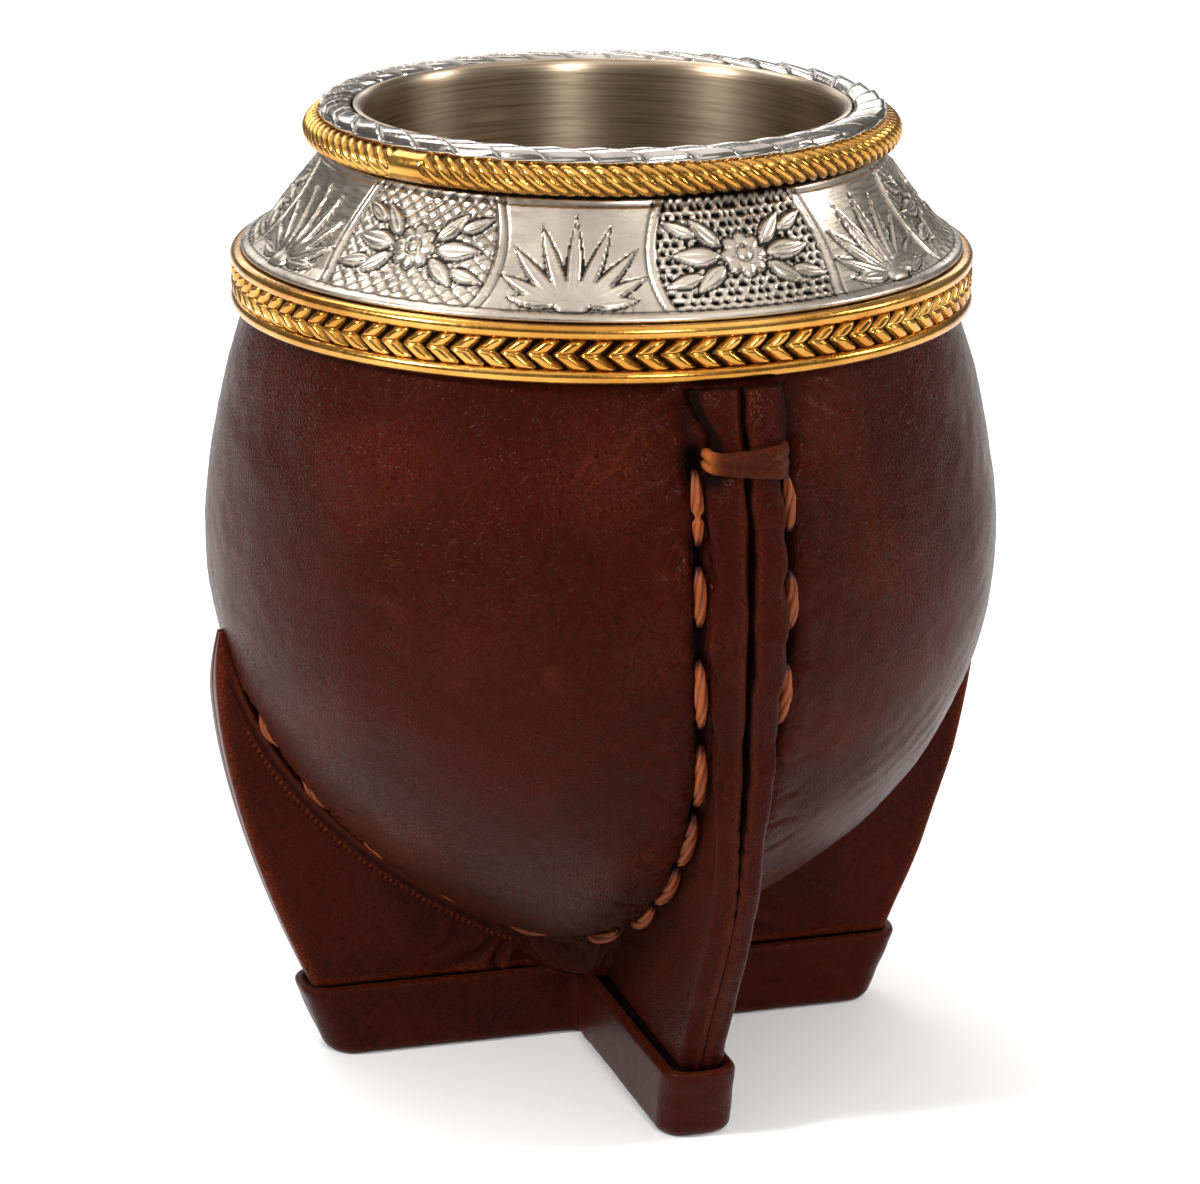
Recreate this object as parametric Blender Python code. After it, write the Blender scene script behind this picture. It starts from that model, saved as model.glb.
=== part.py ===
"""A mate cup: a gourd-shaped cup in sewn leather on a cross foot, lined in steel, under a metal collar.

Metres, +Z up. The foot's underside rests on z = 0, the cup's axis is the Z axis, the front
seam faces -Y and the two horned fins point along -X and +X.
"""

import math

import bmesh
import bpy

MM = 0.001

# Clearance left between two solids that touch on the real cup.
FIT = 0.32 * MM

# The leather belly: widest a little above half height, rounder above than below.
BELLY_RADIUS = 47.5 * MM
BELLY_Z = 65.5 * MM
CROWN_HEIGHT = 66.7 * MM
CROWN_POWER = 1.643
KEEL_HEIGHT = 55.4 * MM
KEEL_POWERS = (2.323, 1.255)
LEATHER_TOP = 91.3 * MM
NECK_TOP = 108.0 * MM

# The steel cup inside, and the roll of its lip.
LINER_RADIUS = 28.0 * MM
LINER_WALL = 1.0 * MM
LINER_FLOOR = 31.2 * MM
LINER_CORNER = 12.0 * MM
LIP_TOP = 115.1 * MM
LIP_ROLL = 1.2 * MM
LIP_DROP = 1.8 * MM
LIP_EDGE = 0.3 * MM

# The collar: a dished cone that rolls out over the band.
COLLAR_TOP = (32.7 * MM, 110.2 * MM)
COLLAR_FOOT = (42.0 * MM, 98.7 * MM)
COLLAR_WAIST = (40.2 * MM, 100.3 * MM)
COLLAR_DISH = 0.5 * MM
COLLAR_WALL = 0.9 * MM
COLLAR_ROLL = 0.2 * MM

# The band: a strip of braid between two beads.
BAND_RADIUS = 43.84 * MM
BAND_BOTTOM = 91.67 * MM
BAND_TOP = 98.35 * MM
BAND_WALL = 1.3 * MM
BEAD = 1.7 * MM
BEAD_CORNER = 0.3 * BEAD
BRAID_RECESS = 0.35 * MM

# The rope that closes the collar, and the twisted ring round the mouth.
ROPE_CENTRE = (33.4 * MM, 112.4 * MM)
ROPE_THICKNESS = 3.4 * MM
RING_INNER = 29.55 * MM
RING_OUTER = 33.3 * MM
RING_TOP = 115.6 * MM
RING_UNDERSIDE = 114.45 * MM
RING_SKIRT_BOTTOM = 111.3 * MM
RING_SKIRT = 0.85 * MM
RING_INNER_ROUND = (0.9 * MM, 0.3 * MM)
RING_OUTER_ROUND = (0.5 * MM, 0.15 * MM)
RING_LIP = (0.2 * MM, 0.35 * MM)
RING_LOBES = 38
LOBE_DEPTH = 0.3 * MM
LOBE_LEAN = 1.5

# The seams at the front and the back: two lips that stand out of the belly and close as a fin.
SEAM_SHIFT = 3.0 * MM
SEAM_SHIFT_AT_FOOT = 1.1 * MM
SEAM_STRAIGHT_Z = 32.0 * MM
SEAM_GAP = 0.7 * MM
LIP_RISE = 2.0 * MM
LIP_WIDTH = 4.5 * MM
LIP_FLARE = 1.0 * MM
LIP_FLARE_Z = 83.0 * MM
FIN_HALF = 2.8 * MM
FIN_TO_LIP = (38.0 * MM, 64.0 * MM)
LIP_ROUND = 0.9 * MM
SLIT_ROUND = 0.4 * MM
SEAM_FIN_Z = 50.0 * MM

# Below this height on the belly, a fin hangs from its underside instead of its side.
KEEL_TURN_Z = 20.0 * MM
KEEL_GAP = 2.2 * FIT

# The outer edge of a fin, from the horn's height down to the foot.
HORN_Z = 54.0 * MM
HORN_CURL = 0.8 * MM
FIN_SHOULDER = (47.8 * MM, 47.5 * MM)
FIN_SPLAY_POWER = 1.62
SIDE_FIN_SPLAY = 11.0 * MM
SEAM_FIN_SPLAY = 8.7 * MM
FIN_ROUND = 0.7 * MM
FIN_ROOT = 5.2 * MM
FIN_LEAST = 0.6 * MM

# The horn thins to a quarter of the fin from this far below its tip to just over it.
HORN_THINS = 0.75
HORN_TAPER = (9.0 * MM, 2.0 * MM)
HORN_FOOT_Z = 40.0 * MM

# The foot: a thick leather cross with a rolled rim, in which the fins stand. Each kind of arm
# has a reach at the rim, and a slope by which its end draws in below.
FOOT_TOP = 8.9 * MM
FOOT_HALF = 4.5 * MM
FOOT_ROUND = 1.2 * MM
FOOT_CORNER = 3.2 * MM
FOOT_RIM = 1.1 * MM
FOOT_RECESS = 0.7 * MM
FOOT_BEAD = 0.9 * MM
SIDE_ARM = (38.4 * MM, 0.42)
SEAM_ARM = (41.3 * MM, 0.25)
SEAM_ARM_SHIFT = 0.9 * MM

# The strap over each seam, and the waxed thread beside it.
STRAP_Z = 82.3 * MM
STRAP_THICKNESS = 1.1 * MM
STRAP_WIDTHS = (2.5 * MM, 3.5 * MM)
STRAP_FLAT = 2.2 * MM
STRAP_ROUND = 0.2 * MM
THREAD = 1.2 * MM
STITCH_PITCH = 9.6 * MM
STITCH_NECK = 0.6
THREAD_TOP = 79.4 * MM
THREAD_TURN = 26.0 * MM
THREAD_END_Z = 44.0 * MM

AROUND = 36

MATERIALS = {
    "oxblood_leather": ((0.045, 0.013, 0.009), 0.0, 0.42),
    "waxed_thread": ((0.50, 0.20, 0.06), 0.0, 0.55),
    "gilt_brass": ((0.78, 0.48, 0.16), 1.0, 0.25),
    "antique_silver": ((0.62, 0.59, 0.55), 1.0, 0.32),
    "bright_silver": ((0.75, 0.75, 0.78), 1.0, 0.2),
    "brushed_steel": ((0.60, 0.56, 0.52), 1.0, 0.3),
}


def smooth(x, low, high):
    """0 below low, 1 above high, and a soft step between."""
    t = min(max((x - low) / (high - low), 0.0), 1.0)
    return t * t * (3 - 2 * t)


def belly_radius(z):
    """The leather's radius at height z."""
    if z >= BELLY_Z:
        return BELLY_RADIUS * math.sqrt(1 - ((z - BELLY_Z) / CROWN_HEIGHT) ** CROWN_POWER)
    down, out = KEEL_POWERS
    depth = min((BELLY_Z - z) / KEEL_HEIGHT, 1.0)
    return BELLY_RADIUS * (1 - depth**down) ** (1 / out)


def keel_z(radius):
    """The height of the underside of the belly at a radius."""
    down, out = KEEL_POWERS
    return BELLY_Z - KEEL_HEIGHT * (1 - (radius / BELLY_RADIUS) ** out) ** (1 / down)


def collar_radius(z):
    """The collar's outer radius at height z, above its rolled foot."""
    (top_r, top_z), (waist_r, waist_z) = COLLAR_TOP, COLLAR_WAIST
    t = (z - waist_z) / (top_z - waist_z)
    return waist_r + (top_r - waist_r) * t - COLLAR_DISH * math.sin(math.pi * t)


def even(points, count):
    """Points spaced evenly along a polyline."""
    lengths = [math.dist(a, b) for a, b in zip(points, points[1:])]
    total, found = sum(lengths), []
    for step in range(count):
        left, i = total * step / (count - 1), 0
        while i < len(lengths) - 1 and left > lengths[i]:
            left -= lengths[i]
            i += 1
        t = min(left / lengths[i], 1.0)
        found.append(tuple(a + (b - a) * t for a, b in zip(points[i], points[i + 1])))
    return found


def clear_scene():
    for obj in list(bpy.data.objects):
        bpy.data.objects.remove(obj)


def add_part(name, material, verts, faces):
    """One closed body, with its faces turned outwards."""
    mesh = bpy.data.meshes.new(name)
    mesh.from_pydata(verts, [], faces)
    shape = bmesh.new()
    shape.from_mesh(mesh)
    bmesh.ops.recalc_face_normals(shape, faces=shape.faces)
    shape.to_mesh(mesh)
    shape.free()
    colour, metallic, roughness = MATERIALS[material]
    finish = bpy.data.materials.new(f"{material}.{name}")
    finish.use_nodes = True
    principled = finish.node_tree.nodes["Principled BSDF"]
    principled.inputs["Base Color"].default_value = (*colour, 1.0)
    principled.inputs["Metallic"].default_value = metallic
    principled.inputs["Roughness"].default_value = roughness
    mesh.materials.append(finish)
    bpy.context.collection.objects.link(bpy.data.objects.new(name, mesh))


def turned(name, material, profile, around=AROUND, shape=None):
    """A profile of (radius, z) turned about Z: a closed loop, or a line with both ends on the axis."""
    poles = profile[0][0] == 0.0
    rows = profile[1:-1] if poles else profile
    verts = []
    for r, z in rows:
        for i in range(around):
            angle = 2 * math.pi * i / around
            dr, dz = shape(r, z, angle) if shape else (0.0, 0.0)
            verts.append(((r + dr) * math.cos(angle), (r + dr) * math.sin(angle), z + dz))
    faces = []
    for row in range(len(rows) - (1 if poles else 0)):
        a, b = row * around, (row + 1) % len(rows) * around
        for i in range(around):
            j = (i + 1) % around
            faces.append((a + i, a + j, b + j, b + i))
    if poles:
        last = (len(rows) - 1) * around
        for row, (_, z) in ((0, profile[0]), (last, profile[-1])):
            verts.append((0.0, 0.0, z))
            faces += [(len(verts) - 1, row + i, row + (i + 1) % around) for i in range(around)]
    add_part(name, material, verts, faces)


def lofted(name, material, rings, turn=0.0):
    """Rings of points joined in order and capped at both ends, turned about Z."""
    size = len(rings[0])
    cos, sin = math.cos(turn), math.sin(turn)
    verts = [(x * cos - y * sin, x * sin + y * cos, z) for ring in rings for x, y, z in ring]
    faces = []
    for row in range(len(rings) - 1):
        a, b = row * size, (row + 1) * size
        faces += [(a + i, a + (i + 1) % size, b + (i + 1) % size, b + i) for i in range(size)]
    faces.append(tuple(range(size)))
    faces.append(tuple(range(len(verts) - size, len(verts))))
    add_part(name, material, verts, faces)


def add_belly():
    """The leather-covered gourd, open at the neck for the liner."""
    keel = [(0.0, BELLY_Z - KEEL_HEIGHT)]
    keel += [(r * MM, keel_z(r * MM)) for r in (7, 14, 21, 27, 32.5, 37, 41, 44, 46.4)]
    crown = [BELLY_Z + (LEATHER_TOP - BELLY_Z) * i / 4 for i in range(5)]
    outer = keel + [(belly_radius(z), z) for z in crown]
    neck = [LEATHER_TOP + (NECK_TOP - LEATHER_TOP) * i / 3 for i in range(1, 4)]
    for z in neck:
        inside_collar = collar_radius(max(z, COLLAR_WAIST[1])) - COLLAR_WALL - FIT
        outer.append((min(belly_radius(z), inside_collar), z))
    bore = LINER_RADIUS + LINER_WALL + FIT
    floor = LINER_FLOOR - LINER_WALL - FIT
    inner = [(bore, NECK_TOP)] + liner_corner(bore, floor) + [(0.0, floor)]
    turned("leather_body", "oxblood_leather", outer + inner)


def liner_corner(radius, floor):
    """The rounded corner between a cup's wall and its floor, from the wall down."""
    corner = LINER_CORNER + radius - LINER_RADIUS
    turns = [math.pi / 2 * i / 4 for i in range(5)]
    return [
        (radius - corner + corner * math.cos(t), floor + corner - corner * math.sin(t))
        for t in turns
    ]


def add_liner():
    """The steel cup, open at the top, with a lip rolled outwards."""
    outer = LINER_RADIUS + LINER_WALL
    shell = [(0.0, LINER_FLOOR - LINER_WALL)]
    shell += reversed(liner_corner(outer, LINER_FLOOR - LINER_WALL))
    shell += [(outer, LIP_TOP - LIP_DROP), (LINER_RADIUS + LIP_ROLL, LIP_TOP - LIP_EDGE)]
    shell += [(LINER_RADIUS + 0.8 * LIP_ROLL, LIP_TOP)]
    shell += [(LINER_RADIUS + 0.25 * LIP_ROLL, LIP_TOP - 0.35 * LIP_DROP)]
    shell += [(LINER_RADIUS, LIP_TOP - LIP_DROP)]
    shell += liner_corner(LINER_RADIUS, LINER_FLOOR) + [(0.0, LINER_FLOOR)]
    turned("liner", "brushed_steel", shell)


def add_collar():
    """The chased collar: a thin shell between the rope and the band."""
    (top_r, top_z), (waist_r, waist_z), (foot_r, foot_z) = COLLAR_TOP, COLLAR_WAIST, COLLAR_FOOT
    heights = [top_z + (waist_z - top_z) * i / 5 for i in range(6)]
    outer = [(collar_radius(z), z) for z in heights]
    outer += [((waist_r + foot_r) / 2, (waist_z + foot_z) / 2 - COLLAR_ROLL), (foot_r, foot_z)]
    inner = [(foot_r - COLLAR_WALL, foot_z)]
    inner += [(collar_radius(z) - COLLAR_WALL, z) for z in (waist_z, (top_z + waist_z) / 2, top_z)]
    turned("collar", "antique_silver", outer + inner)


def add_band():
    """The braided band, with a bead along each edge."""
    valley = BAND_RADIUS - BRAID_RECESS
    inner = BAND_RADIUS - BAND_WALL
    low, high = BAND_BOTTOM + BEAD, BAND_TOP - BEAD
    profile = [
        (inner, BAND_TOP),
        (BAND_RADIUS - BEAD_CORNER, BAND_TOP),
        (BAND_RADIUS, high + BEAD / 2),
        (valley, high),
        (valley, low),
        (BAND_RADIUS, low - BEAD / 2),
        (BAND_RADIUS - BEAD_CORNER, BAND_BOTTOM),
        (inner, BAND_BOTTOM),
    ]
    turned("braided_band", "gilt_brass", profile)


def add_rope():
    """The gilt rope round the collar's top."""
    radius, z = ROPE_CENTRE
    half = ROPE_THICKNESS / 2
    turns = [2 * math.pi * i / 6 for i in range(6)]
    profile = [(radius + half * math.cos(t), z + half * math.sin(t)) for t in turns]
    turned("rope_ring", "gilt_brass", profile, around=54)


def add_rim_ring():
    """The twisted ring round the mouth: overlapping lobes on a plain skirt."""

    def lobe(r, z, angle):
        if z < RING_UNDERSIDE + 0.1 * MM:
            return 0.0, 0.0
        across = (r - RING_INNER) / (RING_OUTER - RING_INNER)
        dip = LOBE_DEPTH * (0.5 - 0.5 * math.cos(RING_LOBES * angle + LOBE_LEAN * across))
        return (-dip if across > 0.8 else 0.0), -dip

    skirt = RING_INNER + RING_SKIRT
    profile = [
        (RING_INNER, RING_SKIRT_BOTTOM),
        (RING_INNER, RING_TOP - RING_INNER_ROUND[1]),
        (RING_INNER + RING_INNER_ROUND[0], RING_TOP),
        (RING_OUTER - RING_OUTER_ROUND[0], RING_TOP - RING_OUTER_ROUND[1]),
        (RING_OUTER, RING_UNDERSIDE + RING_LIP[1]),
        (RING_OUTER - RING_LIP[0], RING_UNDERSIDE),
        (skirt, RING_UNDERSIDE),
        (skirt, RING_SKIRT_BOTTOM),
    ]
    turned("rim_ring", "bright_silver", profile, around=2 * RING_LOBES, shape=lobe)


def fin_edge(z, splay):
    """How far a fin's outer edge stands from the axis at height z."""
    shoulder_r, shoulder_z = FIN_SHOULDER
    below = max(shoulder_z - z, 0.0) / (shoulder_z - FOOT_TOP)
    above = max(z - shoulder_z, 0.0) / (HORN_Z - shoulder_z)
    return shoulder_r - splay * below**FIN_SPLAY_POWER - HORN_CURL * above**2


def seam_edge(z):
    """How far a seam stands from the axis: a lip on the belly, and a fin below it."""
    lip = belly_radius(z) + LIP_RISE
    return max(lip, fin_edge(z, SEAM_FIN_SPLAY)) if z < BELLY_Z else lip


def seam_half(z):
    """Half the width of a seam at height z."""
    widened = FIN_HALF + (LIP_WIDTH - FIN_HALF) * smooth(z, *FIN_TO_LIP)
    return widened + LIP_FLARE * smooth(z, LIP_FLARE_Z, LEATHER_TOP)


def seam_x(z):
    """How far a seam's centre line runs beside the axis at height z."""
    bend = smooth(z, FOOT_TOP, SEAM_STRAIGHT_Z)
    return SEAM_SHIFT_AT_FOOT + (SEAM_SHIFT - SEAM_SHIFT_AT_FOOT) * bend


def outline_pairs(top, edge, count):
    """Pairs of points, in (radius, z), on the belly and on a fin's outline, from its top to its root."""
    floor = FOOT_TOP - FOOT_RECESS + FIT
    root = keel_z(FIN_ROOT) - FIT
    steps = [i / 60 for i in range(61)]
    drop = KEEL_TURN_Z - top
    inner = [(belly_radius(z), z) for z in (top + drop * t for t in steps)]
    turn_r = inner[-1][0]
    inner += [(r, keel_z(r)) for r in (turn_r + (FIN_ROOT - turn_r) * t for t in steps[1:])]
    outer = [(edge(z), z) for z in (top + (floor - top) * t for t in steps)]
    outer.append((FIN_ROOT, floor))
    inner[-1] = (FIN_ROOT, root)
    return list(zip(even(inner, count), even(outer, count)))


def clear_of_belly(radius, z, x):
    """The distance from the axis, at x beside it, that clears the belly's surface near (radius, z)."""
    slope = math.hypot(1.0, (belly_radius(z + MM) - belly_radius(z - MM)) / (2 * MM))
    return math.sqrt((radius + FIT * slope) ** 2 - x * x)


def add_side_fin(name, turn):
    """A horned fin, as thick as its end is wide, tapering to the horn's tip."""
    rings = []
    for (in_r, in_z), (out_r, out_z) in outline_pairs(
        HORN_Z, lambda z: fin_edge(z, SIDE_FIN_SPLAY), 20
    ):
        thin = smooth(out_z, HORN_Z - HORN_TAPER[0], HORN_Z + HORN_TAPER[1])
        half = FIN_HALF * (1 - HORN_THINS * thin)
        start = clear_of_belly(in_r, in_z, 0.0)
        if in_z < KEEL_TURN_Z:
            start, in_z = in_r, in_z - KEEL_GAP
        length = max(math.dist((start, in_z), (out_r, out_z)), FIN_LEAST)
        out_r = max(out_r, start + FIN_LEAST) if out_z > HORN_FOOT_Z else out_r
        edge = min(FIN_ROUND, length / 3, half / 2)
        across = ((0.0, half - edge), (edge, half), (length - edge, half), (length, half - edge))
        ring = []
        for side in (1, -1):
            for along, x in across if side == 1 else reversed(across):
                t = along / length
                ring.append((side * x, -(start + (out_r - start) * t), in_z + (out_z - in_z) * t))
        rings.append(ring)
    lofted(name, "oxblood_leather", rings, turn)


def add_seam(name, side, turn):
    """One cheek of a seam: a lip beside the slit, and one face of the fin below."""
    rings = []
    for (in_r, in_z), (out_r, out_z) in outline_pairs(LEATHER_TOP, seam_edge, 26):
        half, slit = seam_half((in_z + out_z) / 2), SEAM_GAP / 2
        edge = min(LIP_ROUND, half / 3)
        section = ((slit, 0.0), (slit, 0.8), (slit + SLIT_ROUND, 1.0), (half - edge, 0.97))
        section += ((half - 0.1 * MM, 0.6 if out_z > SEAM_FIN_Z else 0.93), (half, 0.0))
        ring = []
        for x, t in section:
            x_in = seam_x(in_z) + side * x
            x_out = seam_x(out_z) + side * x
            if in_z < KEEL_TURN_Z:
                start, low = in_r, in_z - KEEL_GAP
            else:
                start, low = clear_of_belly(in_r, in_z, x_in), in_z
            ring.append((x_in + (x_out - x_in) * t, -(start + (out_r - start) * t), low + (out_z - low) * t))
        rings.append(ring)
    lofted(name, "oxblood_leather", rings, turn)


def cross_ring(z, half, inset, corner):
    """The foot's outline at height z, inset by this much all round."""
    ring = []
    for arm in range(4):
        turn = math.pi / 2 * arm
        reach, slope = SEAM_ARM if arm % 2 == 0 else SIDE_ARM
        reach -= inset + slope * (FOOT_TOP - z)
        shift = SEAM_ARM_SHIFT if arm % 2 == 0 else 0.0
        next_shift = 0.0 if arm % 2 == 0 else SEAM_ARM_SHIFT
        local = []
        for side in (-1, 1):
            centre = (side * (half - corner), reach - corner)
            for step in (0, 1, 2) if side == 1 else (2, 1, 0):
                angle = math.pi / 2 * (1 - step / 2)
                x = centre[0] + side * corner * math.cos(angle)
                local.append((x + shift, centre[1] + corner * math.sin(angle)))
        local.append((half + shift, half - next_shift))
        for x, u in local:
            y = -u
            ring.append((x * math.cos(turn) - y * math.sin(turn), x * math.sin(turn) + y * math.cos(turn), z))
    return ring


def add_foot():
    """The cross foot: round below, its ends raked in, with a rolled rim round a shallow recess."""
    levels = []
    for angle in (0, 35, 65, 90):
        inset = FOOT_ROUND * (1 - math.sin(math.radians(angle)))
        levels.append((FOOT_ROUND * (1 - math.cos(math.radians(angle))), inset))
    levels += [(FOOT_TOP - FOOT_BEAD, 0.0), (FOOT_TOP - 0.25 * MM, 0.15 * MM), (FOOT_TOP, 0.5 * MM)]
    levels += [(FOOT_TOP - 0.1 * MM, FOOT_RIM - 0.1 * MM), (FOOT_TOP - FOOT_RECESS, FOOT_RIM)]
    rings = []
    for z, inset in levels:
        rings.append(cross_ring(z, FOOT_HALF - inset, inset, FOOT_CORNER - inset))
    lofted("foot", "oxblood_leather", rings)


def add_strap(name, turn):
    """The strap that ties both lips: over them, and down into a hole on either side."""
    top = seam_edge(STRAP_Z) + FIT
    side = seam_half(STRAP_Z) + FIT
    outside = side + 0.9 * STRAP_THICKNESS
    path = []
    for sign, width in ((-1, STRAP_WIDTHS[0]), (1, STRAP_WIDTHS[1])):
        x_leg = seam_x(STRAP_Z) + sign * outside
        foot = math.sqrt((belly_radius(STRAP_Z - width / 2) + FIT) ** 2 - x_leg * x_leg) + 0.1 * MM
        leg = [
            ((sign * side, foot), (sign * outside, foot)),
            ((sign * side, top - STRAP_ROUND), (sign * outside, top)),
            ((sign * (side - STRAP_ROUND), top), (sign * (outside - 2 * STRAP_ROUND), top + STRAP_THICKNESS)),
            ((sign * STRAP_FLAT, top), (sign * STRAP_FLAT, top + STRAP_THICKNESS)),
        ]
        path += [(pair, width) for pair in (leg if sign == -1 else reversed(leg))]
    rings = []
    for ((x_in, u_in), (x_out, u_out)), width in path:
        ring = []
        for x, u, half in ((x_in, u_in, width / 2), (x_out, u_out, width / 2 - STRAP_ROUND)):
            heights = (-half, half) if u == u_in and x == x_in else (half, -half)
            ring += [(seam_x(STRAP_Z) + x, -u, STRAP_Z + dz) for dz in heights]
        rings.append(ring)
    lofted(name, "oxblood_leather", rings, turn)


def thread_path(side):
    """The line of one thread on the belly: down beside a seam, round the corner, and up by a side fin."""
    beside = THREAD / 2 + FIT
    side_u = FIN_HALF + beside
    turn_z = keel_z(THREAD_TURN)
    points = []
    for i in range(41):
        z = THREAD_TOP + (turn_z - THREAD_TOP) * i / 40
        x = seam_x(z) + side * (seam_half(z) + beside)
        points.append((x, math.sqrt(belly_radius(z) ** 2 - x * x), z))
    seam_end_x, seam_end_u = points[-1][:2]
    fin_x = side * math.sqrt(THREAD_TURN**2 - side_u**2)
    for i in range(1, 25):
        angle = math.pi / 2 * i / 24
        x = fin_x + (seam_end_x - fin_x) * math.cos(angle)
        u = seam_end_u + (side_u - seam_end_u) * math.sin(angle)
        points.append((x, u, keel_z(math.hypot(x, u))))
    for i in range(1, 21):
        z = turn_z + (THREAD_END_Z - turn_z) * i / 20
        points.append((side * math.sqrt(belly_radius(z) ** 2 - side_u**2), side_u, z))
    return points


def unit(vector):
    size = math.hypot(*vector)
    return [c / size for c in vector]


def cross(a, b):
    return [a[1] * b[2] - a[2] * b[1], a[2] * b[0] - a[0] * b[2], a[0] * b[1] - a[1] * b[0]]


def add_thread(name, side, turn):
    """One thread, thick where a stitch shows and thin where it passes a hole."""
    line = thread_path(side)
    length = sum(math.dist(a, b) for a, b in zip(line, line[1:]))
    count = 4 * round(length / STITCH_PITCH)
    places = even(line, count + 1)
    rings = []
    for i, (x, u, z) in enumerate(places):
        before, after = places[max(i - 1, 0)], places[min(i + 1, count)]
        along = unit([b - a for a, b in zip(before, after)])
        slope = (belly_radius(z + MM) - belly_radius(z - MM)) / (2 * MM)
        normal = unit([x, u, -slope * math.hypot(x, u)])
        beside = unit(cross(normal, along))
        half = THREAD / 2 * (STITCH_NECK if i % 4 == 0 else 1.0)
        lift = THREAD / 2 + FIT
        ring = []
        for quarter in range(4):
            cos, sin = math.cos(math.pi / 2 * quarter), math.sin(math.pi / 2 * quarter)
            dx, du, dz = (lift * n + half * (cos * n + sin * b) for n, b in zip(normal, beside))
            ring.append((x + dx, -(u + du), z + dz))
        rings.append(ring)
    lofted(name, "waxed_thread", rings, turn)


def main():
    clear_scene()
    add_liner()
    add_belly()
    add_collar()
    add_band()
    add_rope()
    add_rim_ring()
    for name, turn in (("front", 0.0), ("back", math.pi)):
        for hand, side in (("left", -1), ("right", 1)):
            add_seam(f"seam_{name}_{hand}", side, turn)
            add_thread(f"thread_{name}_{hand}", side, turn)
        add_strap(f"strap_{name}", turn)
    add_side_fin("fin_left", -math.pi / 2)
    add_side_fin("fin_right", math.pi / 2)
    add_foot()


if __name__ == "__main__":
    main()
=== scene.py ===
"""The looks of a mate cup: sewn leather on a cross foot, a steel liner and metal trims round its neck.

All sizes here are in millimetres and become metres where a mesh is made. The foot's underside is
z = 0, the front seam faces -Y, and "around" is the angle from -Y towards +X.
"""

from __future__ import annotations

import logging
import math
import sys
from dataclasses import dataclass, field
from enum import Enum
from typing import ClassVar

import bpy
import numpy as np
from mathutils import Matrix

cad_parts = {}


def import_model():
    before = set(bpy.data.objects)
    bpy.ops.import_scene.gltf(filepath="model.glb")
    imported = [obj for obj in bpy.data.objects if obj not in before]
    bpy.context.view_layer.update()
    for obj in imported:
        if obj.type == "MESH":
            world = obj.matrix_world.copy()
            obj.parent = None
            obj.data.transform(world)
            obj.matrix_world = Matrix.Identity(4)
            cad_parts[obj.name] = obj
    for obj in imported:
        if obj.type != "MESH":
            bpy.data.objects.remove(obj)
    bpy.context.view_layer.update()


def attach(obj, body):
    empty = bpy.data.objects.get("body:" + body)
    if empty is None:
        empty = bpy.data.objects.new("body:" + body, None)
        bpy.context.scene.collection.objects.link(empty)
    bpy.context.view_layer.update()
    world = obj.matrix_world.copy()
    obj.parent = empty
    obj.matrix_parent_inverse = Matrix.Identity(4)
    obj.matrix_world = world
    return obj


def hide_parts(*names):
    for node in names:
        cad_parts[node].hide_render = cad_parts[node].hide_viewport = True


Array = np.ndarray
Material = bpy.types.Material
Socket = bpy.types.NodeSocket
LOG = logging.getLogger("mate_cup")
MM = 0.001
TAU = 2 * math.pi


class Slot(Enum):
    """The record's material slots."""

    LEATHER = "leather"
    THREAD = "thread"
    GILT = "gilt"
    ANTIQUE_SILVER = "antique_silver"
    BRIGHT_SILVER = "bright_silver"
    STEEL = "steel"


class Turn(Enum):
    """The two ends of the cup, as the turn about Z that brings the front there."""

    FRONT = 0.0
    BACK = math.pi


# Shapes


@dataclass
class Shape:
    """A mesh in the making.

    Attributes:
        points: Places of the points, (count, 3), in millimetres.
        quads: Four point numbers a face.
        tris: Three point numbers a face, for caps.
        fields: Named numbers, one for each point, that the materials read.
    """

    points: Array
    quads: Array
    tris: Array = field(default_factory=lambda: np.zeros((0, 3), np.int64))
    fields: dict[str, Array] = field(default_factory=dict)

    def outward(self, inside: Array | tuple[float, float, float]) -> Shape:
        """Turns every face round where, summed over the mesh, faces look towards a point inside.

        Args:
            inside: A point within the body.

        Returns:
            The same shape.
        """
        corners = self.points[self.quads]
        normal = np.cross(corners[:, 2] - corners[:, 0], corners[:, 3] - corners[:, 1])
        if np.sum(normal * (corners.mean(axis=1) - np.array(inside))) < 0:
            self.quads, self.tris = self.quads[:, ::-1], self.tris[:, ::-1]
        return self

    def turned(self, angle: float) -> Shape:
        """A copy turned about Z.

        Args:
            angle: The turn, in radians.

        Returns:
            The copy.
        """
        return Shape(spun(self.points, angle), self.quads, self.tris, dict(self.fields))


def spun(points: Array, angle: float) -> Array:
    """Points turned about Z.

    Args:
        points: Places, (..., 3).
        angle: The turn, in radians.

    Returns:
        The turned places.
    """
    cos, sin = math.cos(angle), math.sin(angle)
    return points @ np.array([[cos, sin, 0.0], [-sin, cos, 0.0], [0.0, 0.0, 1.0]])


def joined(shapes: list[Shape]) -> Shape:
    """Several shapes as one, with the fields that the first has.

    Args:
        shapes: The shapes.

    Returns:
        One shape.
    """
    starts = np.cumsum([0] + [len(shape.points) for shape in shapes[:-1]])
    return Shape(
        np.vstack([shape.points for shape in shapes]),
        np.vstack([shape.quads + start for shape, start in zip(shapes, starts)]),
        np.vstack([shape.tris + start for shape, start in zip(shapes, starts)]),
        {name: np.concatenate([shape.fields[name] for shape in shapes]) for name in shapes[0].fields},
    )


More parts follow.
